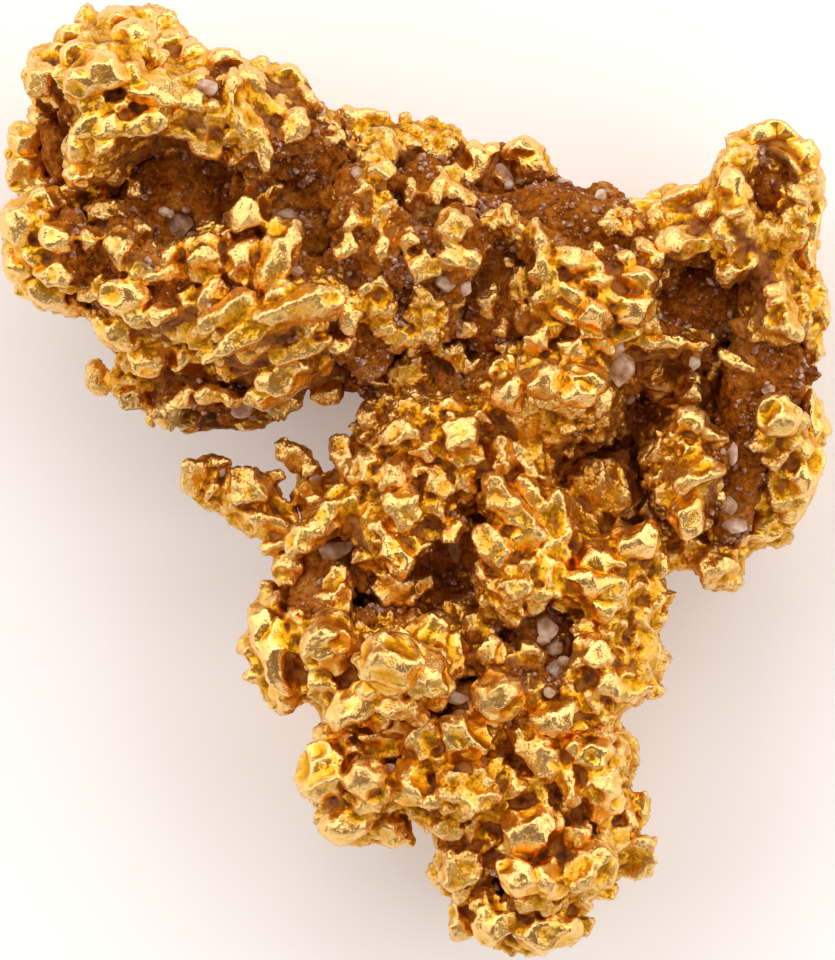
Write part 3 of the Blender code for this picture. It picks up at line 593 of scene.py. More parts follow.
def make_rod(seed):
    """A long crystal with flat sides and chipped ends."""
    rng = random.Random(seed)
    shape = start_ball(3)
    cut_facets(rng, 6, 0.5, 0.75, flat_x=0.22)
    cut_facets(rng, 2, 0.8, 0.92)
    scoop(shape, rng, 3, radii=(0.4, 0.9), depths=(0.08, 0.2), least_rise=0.1)
    return wear_down(shape, 2)


def make_hopper(seed):
    """A lump whose faces have sunk in hollows that run into each other and leave ridges between them."""
    rng = random.Random(seed)
    shape = start_ball(3)
    cut_facets(rng, 4, 0.65, 0.9)
    sink_faces(
        shape, rng, top_radii=(0.9, 1.8), top_depths=(0.15, 0.34), radii=(0.5, 1.2), depths=(0.12, 0.42)
    )
    return wear_down(shape, 1)


def make_shell(seed):
    """A lump that has grown hollow: an uneven rim round overlapping bites."""
    rng = random.Random(seed)
    shape = start_ball(3)
    cut_facets(rng, 4, 0.6, 0.85)
    scoop(shape, rng, 4, radii=(0.35, 0.75), depths=(0.25, 0.5), least_rise=0.45, roundness=1)
    return wear_down(shape, 2)


def make_grain(seed):
    """A quartz grain, broken to flat faces all round."""
    rng = random.Random(seed)
    shape = start_ball(3)
    cut_facets(rng, 14, 0.6, 0.85)
    return shape


def make_sand_grain(seed):
    """A sharp splinter of quartz with few faces, as there are thousands of them."""
    rng = random.Random(seed)
    shape = start_ball(1)
    cut_facets(rng, 4, 0.3, 0.65)
    return shape


# What makes each kind of lump, and how many of it are modelled
MAKERS = {
    "crystal": (make_crystal, 12),
    "bit": (make_bit, 6),
    "pebble": (make_pebble, 8),
    "rod": (make_rod, 5),
    "shell": (make_shell, 6),
    "hopper": (make_hopper, 8),
    "grain": (make_grain, 4),
    "sand": (make_sand_grain, 8),
}


def fill_box(shape):
    """Stretches a ground-down lump to the size it had, so its place in a table gives its real outline."""
    points = points_of(shape.data)
    low, high = points.min(axis=0), points.max(axis=0)
    set_points(shape.data, (points - (low + high) / 2) / ((high - low) / 2))
    return shape


TEMPLATES = {
    kind: [fill_box(maker(100 * order + number)) for number in range(count)]
    for order, (kind, (maker, count)) in enumerate(MAKERS.items(), 1)
}


class Heap:
    """Lumps placed from the templates, to be gathered into one mesh or into several."""

    def __init__(self, seed):
        self.rng = random.Random(seed)
        self.lumps = []
        self.shapes = {}

    def shape(self, kind, number):
        if (kind, number) not in self.shapes:
            mesh = TEMPLATES[kind][number].data
            mesh.calc_loop_triangles()
            triangles = np.empty(len(mesh.loop_triangles) * 3, dtype=np.int32)
            mesh.loop_triangles.foreach_get("vertices", triangles)
            self.shapes[kind, number] = (points_of(mesh).astype(np.float64), triangles.reshape(-1, 3))
        return self.shapes[kind, number]

    def add(self, kind, place, halves, turn, lean=None):
        """Adds one lump. Its own x runs along turn; lean tips its top towards a normal."""
        number = self.rng.randrange(len(TEMPLATES[kind]))
        points, triangles = self.shape(kind, number)
        own_spin = Euler((self.rng.uniform(-0.3, 0.3), self.rng.uniform(-0.3, 0.3), math.radians(turn)))
        matrix = own_spin.to_matrix()
        if lean is not None:
            matrix = UP.rotation_difference(lean).to_matrix() @ matrix
        flip = self.rng.choice((-1, 1))
        placed = (points * (flip, 1, 1) * np.array(halves)) @ np.array(matrix).T + np.array(place)
        if flip < 0:
            triangles = triangles[:, ::-1]
        self.lumps.append((kind, Vector(place), max(halves), placed, triangles))

    def piece(self, name, box=None):
        """All the lumps, or those whose middle is inside a box of the plan, as one mesh."""
        points, faces, count = [], [], 0
        for _, place, _, placed, triangles in self.lumps:
            if box is None or inside(place, box):
                points.append(placed)
                faces.append(triangles + count)
                count += len(placed)
        mesh = bpy.data.meshes.new(name)
        if points:
            corners = np.concatenate(faces).astype(np.int32)
            mesh.vertices.add(count)
            mesh.loops.add(corners.size)
            mesh.polygons.add(len(corners))
            mesh.polygons.foreach_set("loop_start", np.arange(0, corners.size, 3, dtype=np.int32))
            mesh.loops.foreach_set("vertex_index", corners.ravel())
            set_points(mesh, np.concatenate(points))
            mesh.update(calc_edges=True)
        made = bpy.data.objects.new(name, mesh)
        bpy.context.scene.collection.objects.link(made)
        return made


def inside(place, box):
    low, high = corners_of(box)
    return low.x <= place.x < high.x and low.y <= place.y < high.y


# ---------------------------------------------------------------- gold


def smooth_core():
    """The model's gold with its lumps worn down, to carry the finer lumps, and its hollows opened up."""
    core = merged_copy("gold_body")
    fuse(core, CORE_SKIN, soften=9)
    points = points_of(core.data)
    for x, y, wide, deep, turn, floor in CORE_HOLLOWS:
        middle = at(x, y)
        spin = math.radians(turn)
        dx, dy = points[:, 0] - middle.x, points[:, 1] - middle.y
        across = (dx * math.cos(spin) + dy * math.sin(spin)) / (wide * GRID)
        along = (dy * math.cos(spin) - dx * math.sin(spin)) / (deep * GRID)
        reach = across * across + along * along
        bowl = floor * MM + 3.0 * MM * reach ** 2  # its sides rise 3 mm at its rim
        sunk = (reach < 1.3) & (points[:, 2] > bowl)
        points[sunk, 2] = bowl[sunk]
    set_points(core.data, points)
    fuse(core, CORE_SKIN, soften=2)
    columns = []
    for x, y, wide, deep, turn in CORE_NOTCHES:
        select_only()
        bpy.ops.mesh.primitive_cylinder_add(vertices=24, radius=1.0, depth=2.0, location=at(x, y, 200))
        column = bpy.context.object
        column.scale = (wide * GRID, deep * GRID, 24 * MM)
        column.rotation_euler.z = math.radians(turn)
        columns.append(column)
    select_only(*columns)
    bpy.ops.object.transform_apply(location=True, rotation=True, scale=True)
    cut(core, join(columns, "notches"))
    return core


def keep_outline(tree, x, y, half, growth):
    """Moves a swollen lump inwards as far as it has grown, where it stands at the edge of the outline."""
    away_x = away_y = 0.0
    for step in range(8):
        dx, dy = math.cos(math.tau * step / 8), math.sin(math.tau * step / 8)
        if tree.ray_cast(at(x + 1.4 * half * dx, y + 1.4 * half * dy, ABOVE_ALL), DOWN)[0] is None:
            away_x, away_y = away_x + dx, away_y + dy
    far = math.hypot(away_x, away_y) or 1.0
    return x - growth * away_x / far, y - growth * away_y / far


def place_crust(heap, tree, x, y, length, width, turn, height):
    """A patch of bits that lie close together, piled a little in the middle."""
    rng = heap.rng
    spin = math.radians(turn)
    for _ in range(int(6 + length * width / 36)):
        reach, round_it = math.sqrt(rng.random()), rng.uniform(0, math.tau)
        dx, dy = reach * length / 2 * math.cos(round_it), reach * width / 2 * math.sin(round_it)
        size = rng.uniform(3.2, 7.0)
        along = dx * math.cos(spin) + dy * math.sin(spin)
        across = -dx * math.sin(spin) + dy * math.cos(spin)
        spot, _ = seat(tree, x + along, y + across)
        spot.z += (height * (1 - reach * reach) + 0.2 * size) * GRID
        heap.add("bit", spot, [size * rng.uniform(0.7, 1.2) * GRID for _ in range(3)], rng.uniform(0, 180))


def place_lump(heap, tree, kind, x, y, length, width, turn=0, lift=0):
    """Seats a lump of the tables on the skin, leaning a little the way the skin does."""
    if kind != "crust":
        growth = LEG_GROWTH if y > LEG_TOP and x < LEG_RIGHT else GROWTH
        x, y = keep_outline(tree, x, y, (length + width) / 4, growth / 2)
        length, width = length + growth, width + growth
    seat_point, normal = seat(tree, x, y)
    # Half its height follows its narrower side, most of all
    low = 0.42 * min(length, width) + 0.12 * max(length, width)
    if kind == "crust":
        return place_crust(heap, tree, x, y, length, width, turn, 0.35 * low)
    upright = UP.lerp(normal if normal.z > 0 else UP, 0.4).normalized()
    centre = seat_point + Vector((0, 0, (0.18 * low + lift) * GRID))
    halves = (length * GRID / 2, width * GRID / 2, low * GRID)
    if kind == "rod":
        halves = (length * GRID / 2, 1.4 * width * GRID / 2, 0.75 * width * GRID)
    heap.add(kind, centre, halves, turn, upright)


def scatter(heap, skin, kinds, spacing, sizes, sunk, wanted_here):
    """Small lumps all over a skin, sunk by a share of their size. wanted_here thins them out, 0 to 1."""
    rng = heap.rng
    for face in skin.data.polygons:
        share = wanted_here(face)
        if rng.random() < share * face.area / (spacing * spacing):
            size = rng.uniform(*sizes) * rng.uniform(0.7, 1.0)
            halves = [size * rng.uniform(0.65, 1.15) for _ in range(3)]
            spot = face.center - face.normal * size * sunk
            spot.z = max(spot.z, halves[2] * 0.8)
            heap.add(rng.choice(kinds), spot, halves, rng.uniform(0, 360), face.normal)


def crumple(piece, name, kind, size, depth, group="", middle=0.5, **settings):
    """Works a procedural relief into the skin: size is the spacing of its dents, depth how far they go."""
    texture = bpy.data.textures.new(name, kind)
    texture.noise_scale = size
    for key, value in settings.items():
        setattr(texture, key, value)
    apply_modifier(
        piece, "DISPLACE", texture=texture, strength=depth, mid_level=middle, texture_coords="LOCAL",
        direction="NORMAL", vertex_group=group,
    )


def edge_ends(mesh):
    ends = np.empty(len(mesh.edges) * 2, dtype=np.int32)
    mesh.edges.foreach_get("vertices", ends)
    return ends.reshape(-1, 2)


def averaged(values, ends, passes):
    """Values at the points, each averaged with its neighbours along the edges."""
    links = np.bincount(ends.ravel(), minlength=len(values)).clip(1)[:, None]
    for _ in range(passes):
        total = np.empty_like(values)
        for axis in range(values.shape[1]):
            total[:, axis] = np.bincount(ends[:, 0], values[ends[:, 1], axis], minlength=len(values))
            total[:, axis] += np.bincount(ends[:, 1], values[ends[:, 0], axis], minlength=len(values))
        values = total / links
    return values


def store(mesh, name, values):
    layer = mesh.attributes.new(name, "FLOAT", "POINT")
    layer.data.foreach_set("value", np.ascontiguousarray(values, dtype=np.float32))


def store_relief(piece, name, passes, full_scale):
    """Stores how far each place stands proud of its surroundings: 0 in a fold, 1 on a ridge."""
    mesh = piece.data
    points = points_of(mesh).astype(np.float64)
    around = averaged(points, edge_ends(mesh), passes)
    proud = np.einsum("ij,ij->i", points - around, normals_of(mesh)) / full_scale
    store(mesh, name, 0.5 + 0.5 * np.clip(proud, -1, 1))


def bare_places(piece, core_tree):
    """1 where the skin between the lumps shows and earth has filled it, and 0 on the lumps."""
    points = points_of(piece.data)
    x, y = plan_of(points[:, 0], points[:, 1])
    earthiness = np.full(len(points), 0.2)
    for part in EARTHY_PARTS:
        earthiness[away_from(x, y, part) < 1] = 0.9
    far = 0.4 * MM
    above = np.array([core_tree.find_nearest(Vector(point), far)[3] or far for point in points.tolist()])
    bare = np.clip(1.6 - above / (0.1 * MM), 0, 1)
    return averaged((bare * earthiness)[:, None], edge_ends(piece.data), 3)[:, 0]


def worn_places(piece, lumps):
    """How worn each place is: 1 on the lumps that were rolled smooth, less on crystals, 0 on the crusts."""
    points = points_of(piece.data)
    low, high = points.min(axis=0), points.max(axis=0)
    worn = np.zeros(len(points))
    for kind, place, size, _, _ in lumps:
        if any(place[axis] + size < low[axis] or place[axis] - size > high[axis] for axis in range(3)):
            continue
        middle = np.array(place, dtype=np.float32)
        near = np.flatnonzero(np.abs(points[:, 0] - middle[0]) < 1.2 * size)
        for axis in (1, 2):
            near = near[np.abs(points[near, axis] - middle[axis]) < 1.2 * size]
        distance = np.linalg.norm(points[near] - middle, axis=1) / size
        worn[near] = np.maximum(worn[near], WEAR.get(kind, 0) * np.clip(4.0 * (1.15 - distance), 0, 1))
    return averaged(worn[:, None], edge_ends(piece.data), 4)[:, 0]


def add_weights(piece, name, weights, levels=6):
    """A vertex group that follows the given weights in a few even levels."""
    group = piece.vertex_groups.new(name=name)
    step = np.rint(np.clip(weights, 0, 1) * levels).astype(int)
    for level in range(1, levels + 1):
        group.add(np.flatnonzero(step == level).tolist(), level / levels, "REPLACE")


def ridge_share(piece, worn):
    """How deep the ridged relief goes: all the way on the leg, less on the arms and on worn lumps."""
    y = plan_of(0, points_of(piece.data)[:, 1])[1]
    return (0.6 + 0.4 * np.clip((y - 400) / 120, 0, 1)) * (1 - 0.35 * worn)


def cut_out(core, name, box):
    """The part of the core inside a box of the plan, closed where it is cut."""
    part = copy_of(core, name)
    low, high = corners_of(box)
    select_only()
    middle = ((low.x + high.x) / 2, (low.y + high.y) / 2, 10 * MM)
    bpy.ops.mesh.primitive_cube_add(size=1.0, location=middle)
    block = bpy.context.object
    block.scale = (high.x - low.x + 2 * OVERLAP, high.y - low.y + 2 * OVERLAP, 60 * MM)
    cut(part, block, "INTERSECT")
    return part


def tuck_in(piece, core_tree, box):
    """Draws the cut edges of a piece's core in under the skin of its neighbours."""
    points = points_of(piece.data)
    low, high = corners_of(box)
    gap = np.min(
        [points[:, 0] - low.x, high.x - points[:, 0], points[:, 1] - low.y, high.y - points[:, 1]], axis=0
    ) + OVERLAP
    for number in np.flatnonzero((np.abs(gap) < OVERLAP) & (points[:, 2] > 0.4 * MM)):
        outwards = core_tree.find_nearest(Vector(points[number].tolist()), 0.3 * MM)[1]
        if outwards is not None:
            points[number] -= np.array(outwards) * 1.5 * (OVERLAP - abs(gap[number]))
    set_points(piece.data, points)


def make_gold(core, tree, earth_tree):
    """The gold in pieces, each the core with the lumps that stand on it, fused to one skin and crumpled."""
    core_tree = tree_of(core)
    heap = Heap(GOLD_SEED)
    for region in (LEFT_ARM, RIGHT_ARM, LEG):
        for kind, rows in region.items():
            for row in rows:
                place_lump(heap, tree, kind, *row)
    listed_lumps = list(heap.lumps)

    def buried(face):
        above = earth_tree.ray_cast(face.center + Vector((0, 0, 0.02 * MM)), UP)[0]
        return above is not None and above.z - face.center.z < 1.5 * MM

    def in_notch(face):
        x, y = plan_of(face.center.x, face.center.y)
        return any(away_from(x, y, notch, 8) < 1 for notch in CORE_NOTCHES)

    def flanks(face):
        return 1.0 if face.normal.z < 0.3 and not in_notch(face) else 0.0

    def between(face):
        x, y = plan_of(face.center.x, face.center.y)
        in_window = any(away_from(x, y, window) < 1.2 for window in CLEAR_WINDOWS)
        if face.normal.z < 0.2 or in_window or buried(face) or in_notch(face):
            return 0.0
        # Few on the upper left knob, all over the leg, many at the left end and few elsewhere on the arms
        if x < 240 and y < 135:
            return 0.3
        return 1.0 if y > 430 else 0.8 if x < 165 else 0.35

    scatter(
        heap, core, ("crystal", "crystal", "pebble"), spacing=1.1 * MM, sizes=(0.5 * MM, 1.0 * MM),
        sunk=0.5, wanted_here=flanks,
    )
    scatter(
        heap, core, ("crystal", "crystal", "crystal", "hopper"), spacing=0.95 * MM,
        sizes=(0.4 * MM, 0.85 * MM), sunk=0.3, wanted_here=between,
    )
    undercoat = join([copy_of(core), heap.piece("lumps")], "undercoat")
    fuse(undercoat, UNDERCOAT_SKIN, soften=1)

    def crusted(face):
        if face.center.z < 1.0 * MM or buried(face):
            return 0.0
        return max(0.0, 1.2 * noise.noise(face.center / (2.2 * MM)) - 0.25)

    scatter(
        heap, undercoat, ("bit",), spacing=0.6 * MM, sizes=(0.12 * MM, 0.3 * MM), sunk=0.2,
        wanted_here=crusted,
    )
    bpy.data.objects.remove(undercoat)

    pieces = []
    for name, box in GOLD_PIECES.items():
        gold = join([cut_out(core, name, box), heap.piece(name + "_lumps", box)], name)
        fuse(gold, SKIN, soften=1)
        worn = worn_places(gold, listed_lumps)
        add_weights(gold, "ridged", ridge_share(gold, worn))
        add_weights(gold, "rough", 1 - 0.75 * worn)
        crumple(
            gold, "gold_ridges", "MUSGRAVE", size=1.1 * MM, depth=0.38 * MM, group="ridged", middle=0.47,
            musgrave_type="RIDGED_MULTIFRACTAL", octaves=2.0, noise_intensity=0.6,
        )
        # Cells whose middles are sunk, with ridges between them
        cells = {"group": "rough", "middle": 0.3, "weight_1": -1.0, "weight_2": 1.0, "noise_intensity": 2.0}
        crumple(gold, "gold_hollow_faces", "VORONOI", size=1.05 * MM, depth=-0.14 * MM, **cells)
        crumple(gold, "gold_folds", "CLOUDS", size=0.6 * MM, depth=0.2 * MM, group="rough", noise_depth=2)
        crumple(gold, "gold_small_faces", "VORONOI", size=0.36 * MM, depth=-0.1 * MM, **cells)
        gold.vertex_groups.clear()
        tuck_in(gold, core_tree, box)
        store(gold.data, "worn", worn)
        store_relief(gold, "edge", passes=5, full_scale=0.045 * MM)
        apply_modifier(gold, "DECIMATE", ratio=GOLD_KEPT)
        store(gold.data, "bare", bare_places(gold, core_tree))
        store_relief(gold, "relief", passes=26, full_scale=0.26 * MM)
        pieces.append(gold)
    return pieces


# ---------------------------------------------------------------- earth and quartz


def make_earth(core_tree):
    """Earth packed over the skin of each hollow, with a gritty surface."""
    pieces = {}
    for number, (name, rows) in enumerate(EARTH_PATCHES.items()):
        heap = Heap(EARTH_SEED + number)
        for x, y, wide, deep, turn, lift in rows:
            # Flat lumps laid evenly in a spiral, as the seeds of a sunflower are
            steps = max(3, int(wide * deep / 140))
            for step in range(steps):
                reach = math.sqrt((step + 0.5) / steps)
                round_it = 2.4 * step
                dx, dy = wide * reach * math.cos(round_it), deep * reach * math.sin(round_it)
                spin = math.radians(turn)
                spot, _ = seat(
                    core_tree, x + dx * math.cos(spin) + dy * math.sin(spin),
                    y - dx * math.sin(spin) + dy * math.cos(spin),
                )
                size = heap.rng.uniform(13, 17)
                spot.z += (lift * (1 - reach * reach) - 5) * GRID
                halves = (size * GRID, size * GRID, 0.62 * size * GRID)
                heap.add("crystal", spot, halves, heap.rng.uniform(0, 180))
        bed = merged_copy(name)
        piece = join([bed, heap.piece(name + "_skin")], name.replace("earth_", "packed_earth_"))
        fuse(piece, EARTH_SKIN, soften=1)
        crumple(piece, name + "_clods", "CLOUDS", size=0.8 * MM, depth=0.5 * MM, noise_depth=4)
        crumple(piece, name + "_grit", "VORONOI", size=0.3 * MM, depth=-0.2 * MM)
        pieces[name] = piece
    return pieces


def make_quartz(tree):
    """The larger grains, each group round the model's grain that it replaces, and the loose ones."""
    pieces = {}
    rows_of = {**QUARTZ_GRAINS, "quartz_loose": LOOSE_QUARTZ}
    for number, (name, rows) in enumerate(rows_of.items()):
        heap = Heap(QUARTZ_SEED + number)
        for x, y, length, width, *turn_and_lift in rows:
            turn, lift = [*turn_and_lift, 0, 0][:2]
            spot, _ = seat(tree, x, y)
            low = 0.4 * min(length, width)
            spot.z += (0.35 * low + lift) * GRID
            heap.add("grain", spot, (length * GRID / 2, width * GRID / 2, low * GRID), turn)
        pieces[name] = heap.piece(name.replace("quartz_", "quartz_grains_"))
    return pieces


def make_sand(earth_pieces):
    """Quartz sand stuck all over the earth's upper side."""
    heap = Heap(SAND_SEED)
    rng = heap.rng
    for piece in earth_pieces:
        for face in piece.data.polygons:
            if face.normal.z < 0.15:
                continue
            # It lies in clumps a millimetre or so wide, most of it fine
            clump = 0.42 + 1.9 * noise.noise(face.center / (1.3 * MM))
            if rng.random() < clump * face.area / (0.26 * MM) ** 2:
                size = (rng.uniform(0.03, 0.08) if rng.random() < 0.76 else rng.uniform(0.08, 0.18)) * MM
                halves = [size * rng.uniform(0.7, 1.25) for _ in range(3)]
                corner = piece.data.vertices[face.vertices[rng.randrange(len(face.vertices))]].co
                spot = face.center.lerp(corner, rng.uniform(-0.8, 0.8))
                heap.add("sand", spot + face.normal * size * 0.3, halves, rng.uniform(0, 360))
    return [heap.piece(name, box) for name, box in SAND_PIECES.items()]


# ---------------------------------------------------------------- finishes


def linear(hex_colour):
    channels = [int(hex_colour[i : i + 2], 16) / 255 for i in (1, 3, 5)]
    return [c / 12.92 if c <= 0.04045 else ((c + 0.055) / 1.055) ** 2.4 for c in channels] + [1.0]


def new_finish(name):
    made = bpy.data.materials.new(name)
    made.use_nodes = True
    return made, made.node_tree.nodes["Principled BSDF"]


def set_up(owner, node, settings):
    """Gives a node its settings, by property or by input. Another node's output is linked to the input."""
    for key, value in settings.items():
        if isinstance(value, bpy.types.NodeSocket):
            owner.node_tree.links.new(value, node.inputs[key])
        elif isinstance(key, int) or key in node.inputs:
            node.inputs[key].default_value = value
        else:
            setattr(node, key, value)


def add_node(finish, kind, settings, stops=()):
    """Adds a node with its settings and links, and a ramp's stops as (place, colour or brightness)."""
    node = finish.node_tree.nodes.new("ShaderNode" + kind)
    set_up(finish, node, settings)
    for number, (place, colour) in enumerate(stops):
        if number >= len(node.color_ramp.elements):
            node.color_ramp.elements.new(place)
        stop = node.color_ramp.elements[number]
        stop.position = place
        stop.color = linear(colour) if isinstance(colour, str) else [colour] * 3 + [1]
    return node


def native_gold():
    """Native gold with a little silver: rich yellow on worn lumps, paler on the ridges by a painted
    highlight, browner and darker in the folds by painted shade, and duller there under caught earth.

    Its skin is crumpled and granular, so it is satin and glitters, with smooth lumps where it was rolled.
    """
    finish, shader = new_finish("native_gold")
    place = add_node(finish, "TexCoord", {}).outputs["Object"]
    relief, edge, worn, bare = (
        add_node(finish, "Attribute", {"attribute_name": name}).outputs["Fac"]
        for name in ("relief", "edge", "worn", "bare")
    )
    # How proud of its surroundings each place is, made a little uneven by clouds a millimetre wide
    cloud = add_node(finish, "TexNoise", {"Scale": 1 / (1.1 * MM), "Detail": 2.0, "Vector": place})
    proud = add_node(
        finish, "Math", {"operation": "MULTIPLY_ADD", 0: cloud.outputs["Fac"], 1: 0.24, 2: relief}
    )
    proud = add_node(finish, "Math", {"operation": "MULTIPLY_ADD", 0: edge, 1: 0.2, 2: proud.outputs[0]})
    proud = add_node(finish, "Math", {"operation": "SUBTRACT", 0: proud.outputs[0], 1: 0.22}).outputs[0]
    # Painted shade and painted highlight: the colour runs from dark brown in the folds to pale cream on the
    # ridges and fine edges, by how proud each place stands
    colour = add_node(
        finish, "ValToRGB", {"Fac": proud},
        ((0.08, "#6E3E02"), (0.28, "#BC7E0A"), (0.48, "#EBA822"), (0.68, "#F7BC4C"), (0.9, "#FFD282")),
    )
    rough = add_node(
        finish, "ValToRGB", {"Fac": proud}, ((0.1, 0.6), (0.3, 0.45), (0.75, 0.4), (1.0, 0.38))
    )
    rough = add_node(
        finish, "Math", {"operation": "MULTIPLY_ADD", 0: worn, 1: -0.13, 2: rough.outputs["Color"]}
    )
    # Fine creases of the crumpled skin, a third of a millimetre apart: painted shade darkens the colour in
    # them, except on worn lumps, and they dent the bump as well
    warp = add_node(finish, "TexNoise", {"Scale": 1 / (0.35 * MM), "Detail": 2.0, "Vector": place})
    bent = add_node(
        finish, "VectorMath",
        {"operation": "MULTIPLY_ADD", 0: warp.outputs["Color"], 1: (0.3 * MM,) * 3, 2: place},
    ).outputs["Vector"]
    creases = add_node(
        finish, "TexVoronoi", {"feature": "DISTANCE_TO_EDGE", "Scale": 1 / (0.34 * MM), "Vector": bent}
    )
    crease_shade_and_dent = add_node(
        finish, "MapRange",
        {"From Max": 0.09, "To Min": 0.68, "To Max": 1.0, "Value": creases.outputs["Distance"]},
    )
    crease_shade_and_dent = add_node(
        finish, "Mix", {"data_type": "FLOAT", 3: 1.0, 0: worn, 2: crease_shade_and_dent.outputs["Result"]}
    ).outputs[0]
    # Painted shade: the gold's colour is darkened in the creases
    colour = add_node(
        finish, "VectorMath", {"operation": "SCALE", 0: colour.outputs["Color"], "Scale": crease_shade_and_dent}
    )
    # Earth caught in the folds and on the bare skin between the lumps
    dirt = add_node(finish, "MapRange", {"From Min": 0.32, "From Max": 0.14, "Value": proud})
    dirt = add_node(finish, "Math", {"operation": "MAXIMUM", 0: dirt.outputs["Result"], 1: bare})
    patch = add_node(
        finish, "TexNoise", {"Scale": 1 / (0.5 * MM), "Detail": 3.0, "Vector": place}
    ).outputs["Fac"]
    dirt = add_node(finish, "Math", {"operation": "ADD", 0: dirt.outputs[0], 1: patch})
    dirt = add_node(
        finish, "MapRange", {"From Min": 0.95, "From Max": 1.15, "Value": dirt.outputs[0]}
    ).outputs["Result"]
    earth = add_node(
        finish, "ValToRGB", {"Fac": patch}, ((0.35, "#5A2A02"), (0.5, "#9A540A"), (0.65, "#B8761E"))
    )
    colour = add_node(
        finish, "Mix",
        {"data_type": "RGBA", 0: dirt, 6: colour.outputs["Vector"], 7: earth.outputs["Color"]},
    )
    rough = add_node(finish, "Mix", {"data_type": "FLOAT", 3: 0.85, 0: dirt, 2: rough.outputs[0]})
    metal = add_node(finish, "Math", {"operation": "SUBTRACT", 0: 1.0, 1: dirt})
    # Facets a tenth to a quarter of a millimetre wide, each turned its own way
    strength = add_node(
        finish, "MapRange", {"To Min": 1.0, "To Max": 0.12, "Value": worn}
    ).outputs["Result"]
    normal = add_node(finish, "NewGeometry", {}).outputs["Normal"]
    for size, share in ((0.24 * MM, 0.4), (0.1 * MM, 0.5)):
        cells = add_node(finish, "TexVoronoi", {"Scale": 1 / size, "Vector": bent})
        tilt = add_node(
            finish, "VectorMath", {"operation": "SUBTRACT", 0: cells.outputs["Color"], 1: (0.5, 0.5, 0.5)}
        )
        amount = add_node(finish, "Math", {"operation": "MULTIPLY", 0: strength, 1: share})
        tilt = add_node(
            finish, "VectorMath",
            {"operation": "SCALE", 0: tilt.outputs["Vector"], "Scale": amount.outputs[0]},
        )
        normal = add_node(
            finish, "VectorMath", {"operation": "ADD", 0: normal, 1: tilt.outputs["Vector"]}
        ).outputs["Vector"]
    normal = add_node(finish, "VectorMath", {"operation": "NORMALIZE", 0: normal}).outputs["Vector"]
    fine = add_node(finish, "TexNoise", {"Scale": 1 / (0.1 * MM), "Detail": 1.0, "Vector": place})
    height = add_node(
        finish, "Math", {"operation": "MULTIPLY_ADD", 0: crease_shade_and_dent, 1: 0.6, 2: fine.outputs["Fac"]}
    )
    bump = add_node(
        finish, "Bump",
        {"Strength": 0.5, "Distance": 0.04 * MM, "Height": height.outputs[0], "Normal": normal},
    )
    set_up(finish, shader, {
        "Base Color": colour.outputs[2], "Roughness": rough.outputs[0], "Metallic": metal.outputs[0],
        "Normal": bump.outputs["Normal"],
    })
    return finish


def ironstone_earth():
    """Iron-stained clay and grit: rust brown, matt, with paler dusty grains."""
    finish, shader = new_finish("ironstone_earth")
    place = add_node(finish, "TexCoord", {}).outputs["Object"]
    patches = add_node(
        finish, "TexNoise", {"Scale": 1 / (2.4 * MM), "Detail": 5.0, "Roughness": 0.65, "Vector": place}
    )
    grit = add_node(
        finish, "TexNoise", {"Scale": 1 / (0.24 * MM), "Detail": 4.0, "Roughness": 0.7, "Vector": place}
    ).outputs["Fac"]
    mixed = add_node(finish, "Mix", {"data_type": "FLOAT", 0: 0.5, 2: patches.outputs["Fac"], 3: grit})
    colour = add_node(
        finish, "ValToRGB", {"Fac": mixed.outputs[0]},
        ((0.38, "#4A1E02"), (0.45, "#7E3E04"), (0.51, "#A45A0C"), (0.57, "#B87022"), (0.68, "#D0A468")),
    )
    bump = add_node(finish, "Bump", {"Strength": 0.9, "Distance": 0.08 * MM, "Height": grit})
    set_up(finish, shader, {
        "Base Color": colour.outputs["Color"], "Normal": bump.outputs["Normal"], "Roughness": 0.8,
        "Specular IOR Level": 0.1,
    })
    return finish


def quartz_of(name, veil, depth, stain):
    """Quartz stained by iron: glossy on its faces, clouded by veils that are so many metres wide.

    Depth is the share of light that passes a little way into it.
    """
    finish, shader = new_finish(name)
    place = add_node(finish, "TexCoord", {}).outputs["Object"]
    veils = add_node(
        finish, "TexNoise", {"Scale": 1 / veil, "Detail": 4.0, "Vector": place}
    ).outputs["Fac"]
    colour = add_node(finish, "ValToRGB", {"Fac": veils}, tuple(zip((0.34, 0.46, 0.56, 0.68), stain)))
    bump = add_node(finish, "Bump", {"Strength": 0.4, "Distance": 0.04 * MM, "Height": veils})
    set_up(finish, shader, {
        "Base Color": colour.outputs["Color"], "Normal": bump.outputs["Normal"], "Roughness": 0.28,
        "Subsurface Weight": depth, "Subsurface Radius": (0.4 * MM, 0.3 * MM, 0.25 * MM),
        "Subsurface Scale": 1.0,
    })
    return finish


# ---------------------------------------------------------------- the studio


def make_floor():
    """White paper on a light table, so the nugget's flanks are lit from below too."""
    select_only()
    bpy.ops.mesh.primitive_plane_add(size=1.2, location=(0, 0, 0))
    floor = bpy.context.object
    floor.name = "floor"
    finish, shader = new_finish("white_paper")
    set_up(finish, shader, {
        "Base Color": (0.92, 0.92, 0.92, 1), "Roughness": 0.9, "Emission Color": (1, 1, 1, 1),
        "Emission Strength": 0.2,
    })
    floor.data.materials.append(finish)


def add_softbox(name, place, size, brightness):
    """A softbox that faces the nugget. brightness is what a mirror would show of it; 1 is paper white."""
    data = bpy.data.lights.new(name, "AREA")
    data.shape = "RECTANGLE"
    data.size, data.size_y = size
    data.energy = brightness * math.pi * size[0] * size[1]
    lamp = bpy.data.objects.new(name, data)
    bpy.context.scene.collection.objects.link(lamp)
    lamp.location = place
    lamp.rotation_euler = (Vector((0, 0, 6 * MM)) - Vector(place)).to_track_quat("-Z", "Y").to_euler()


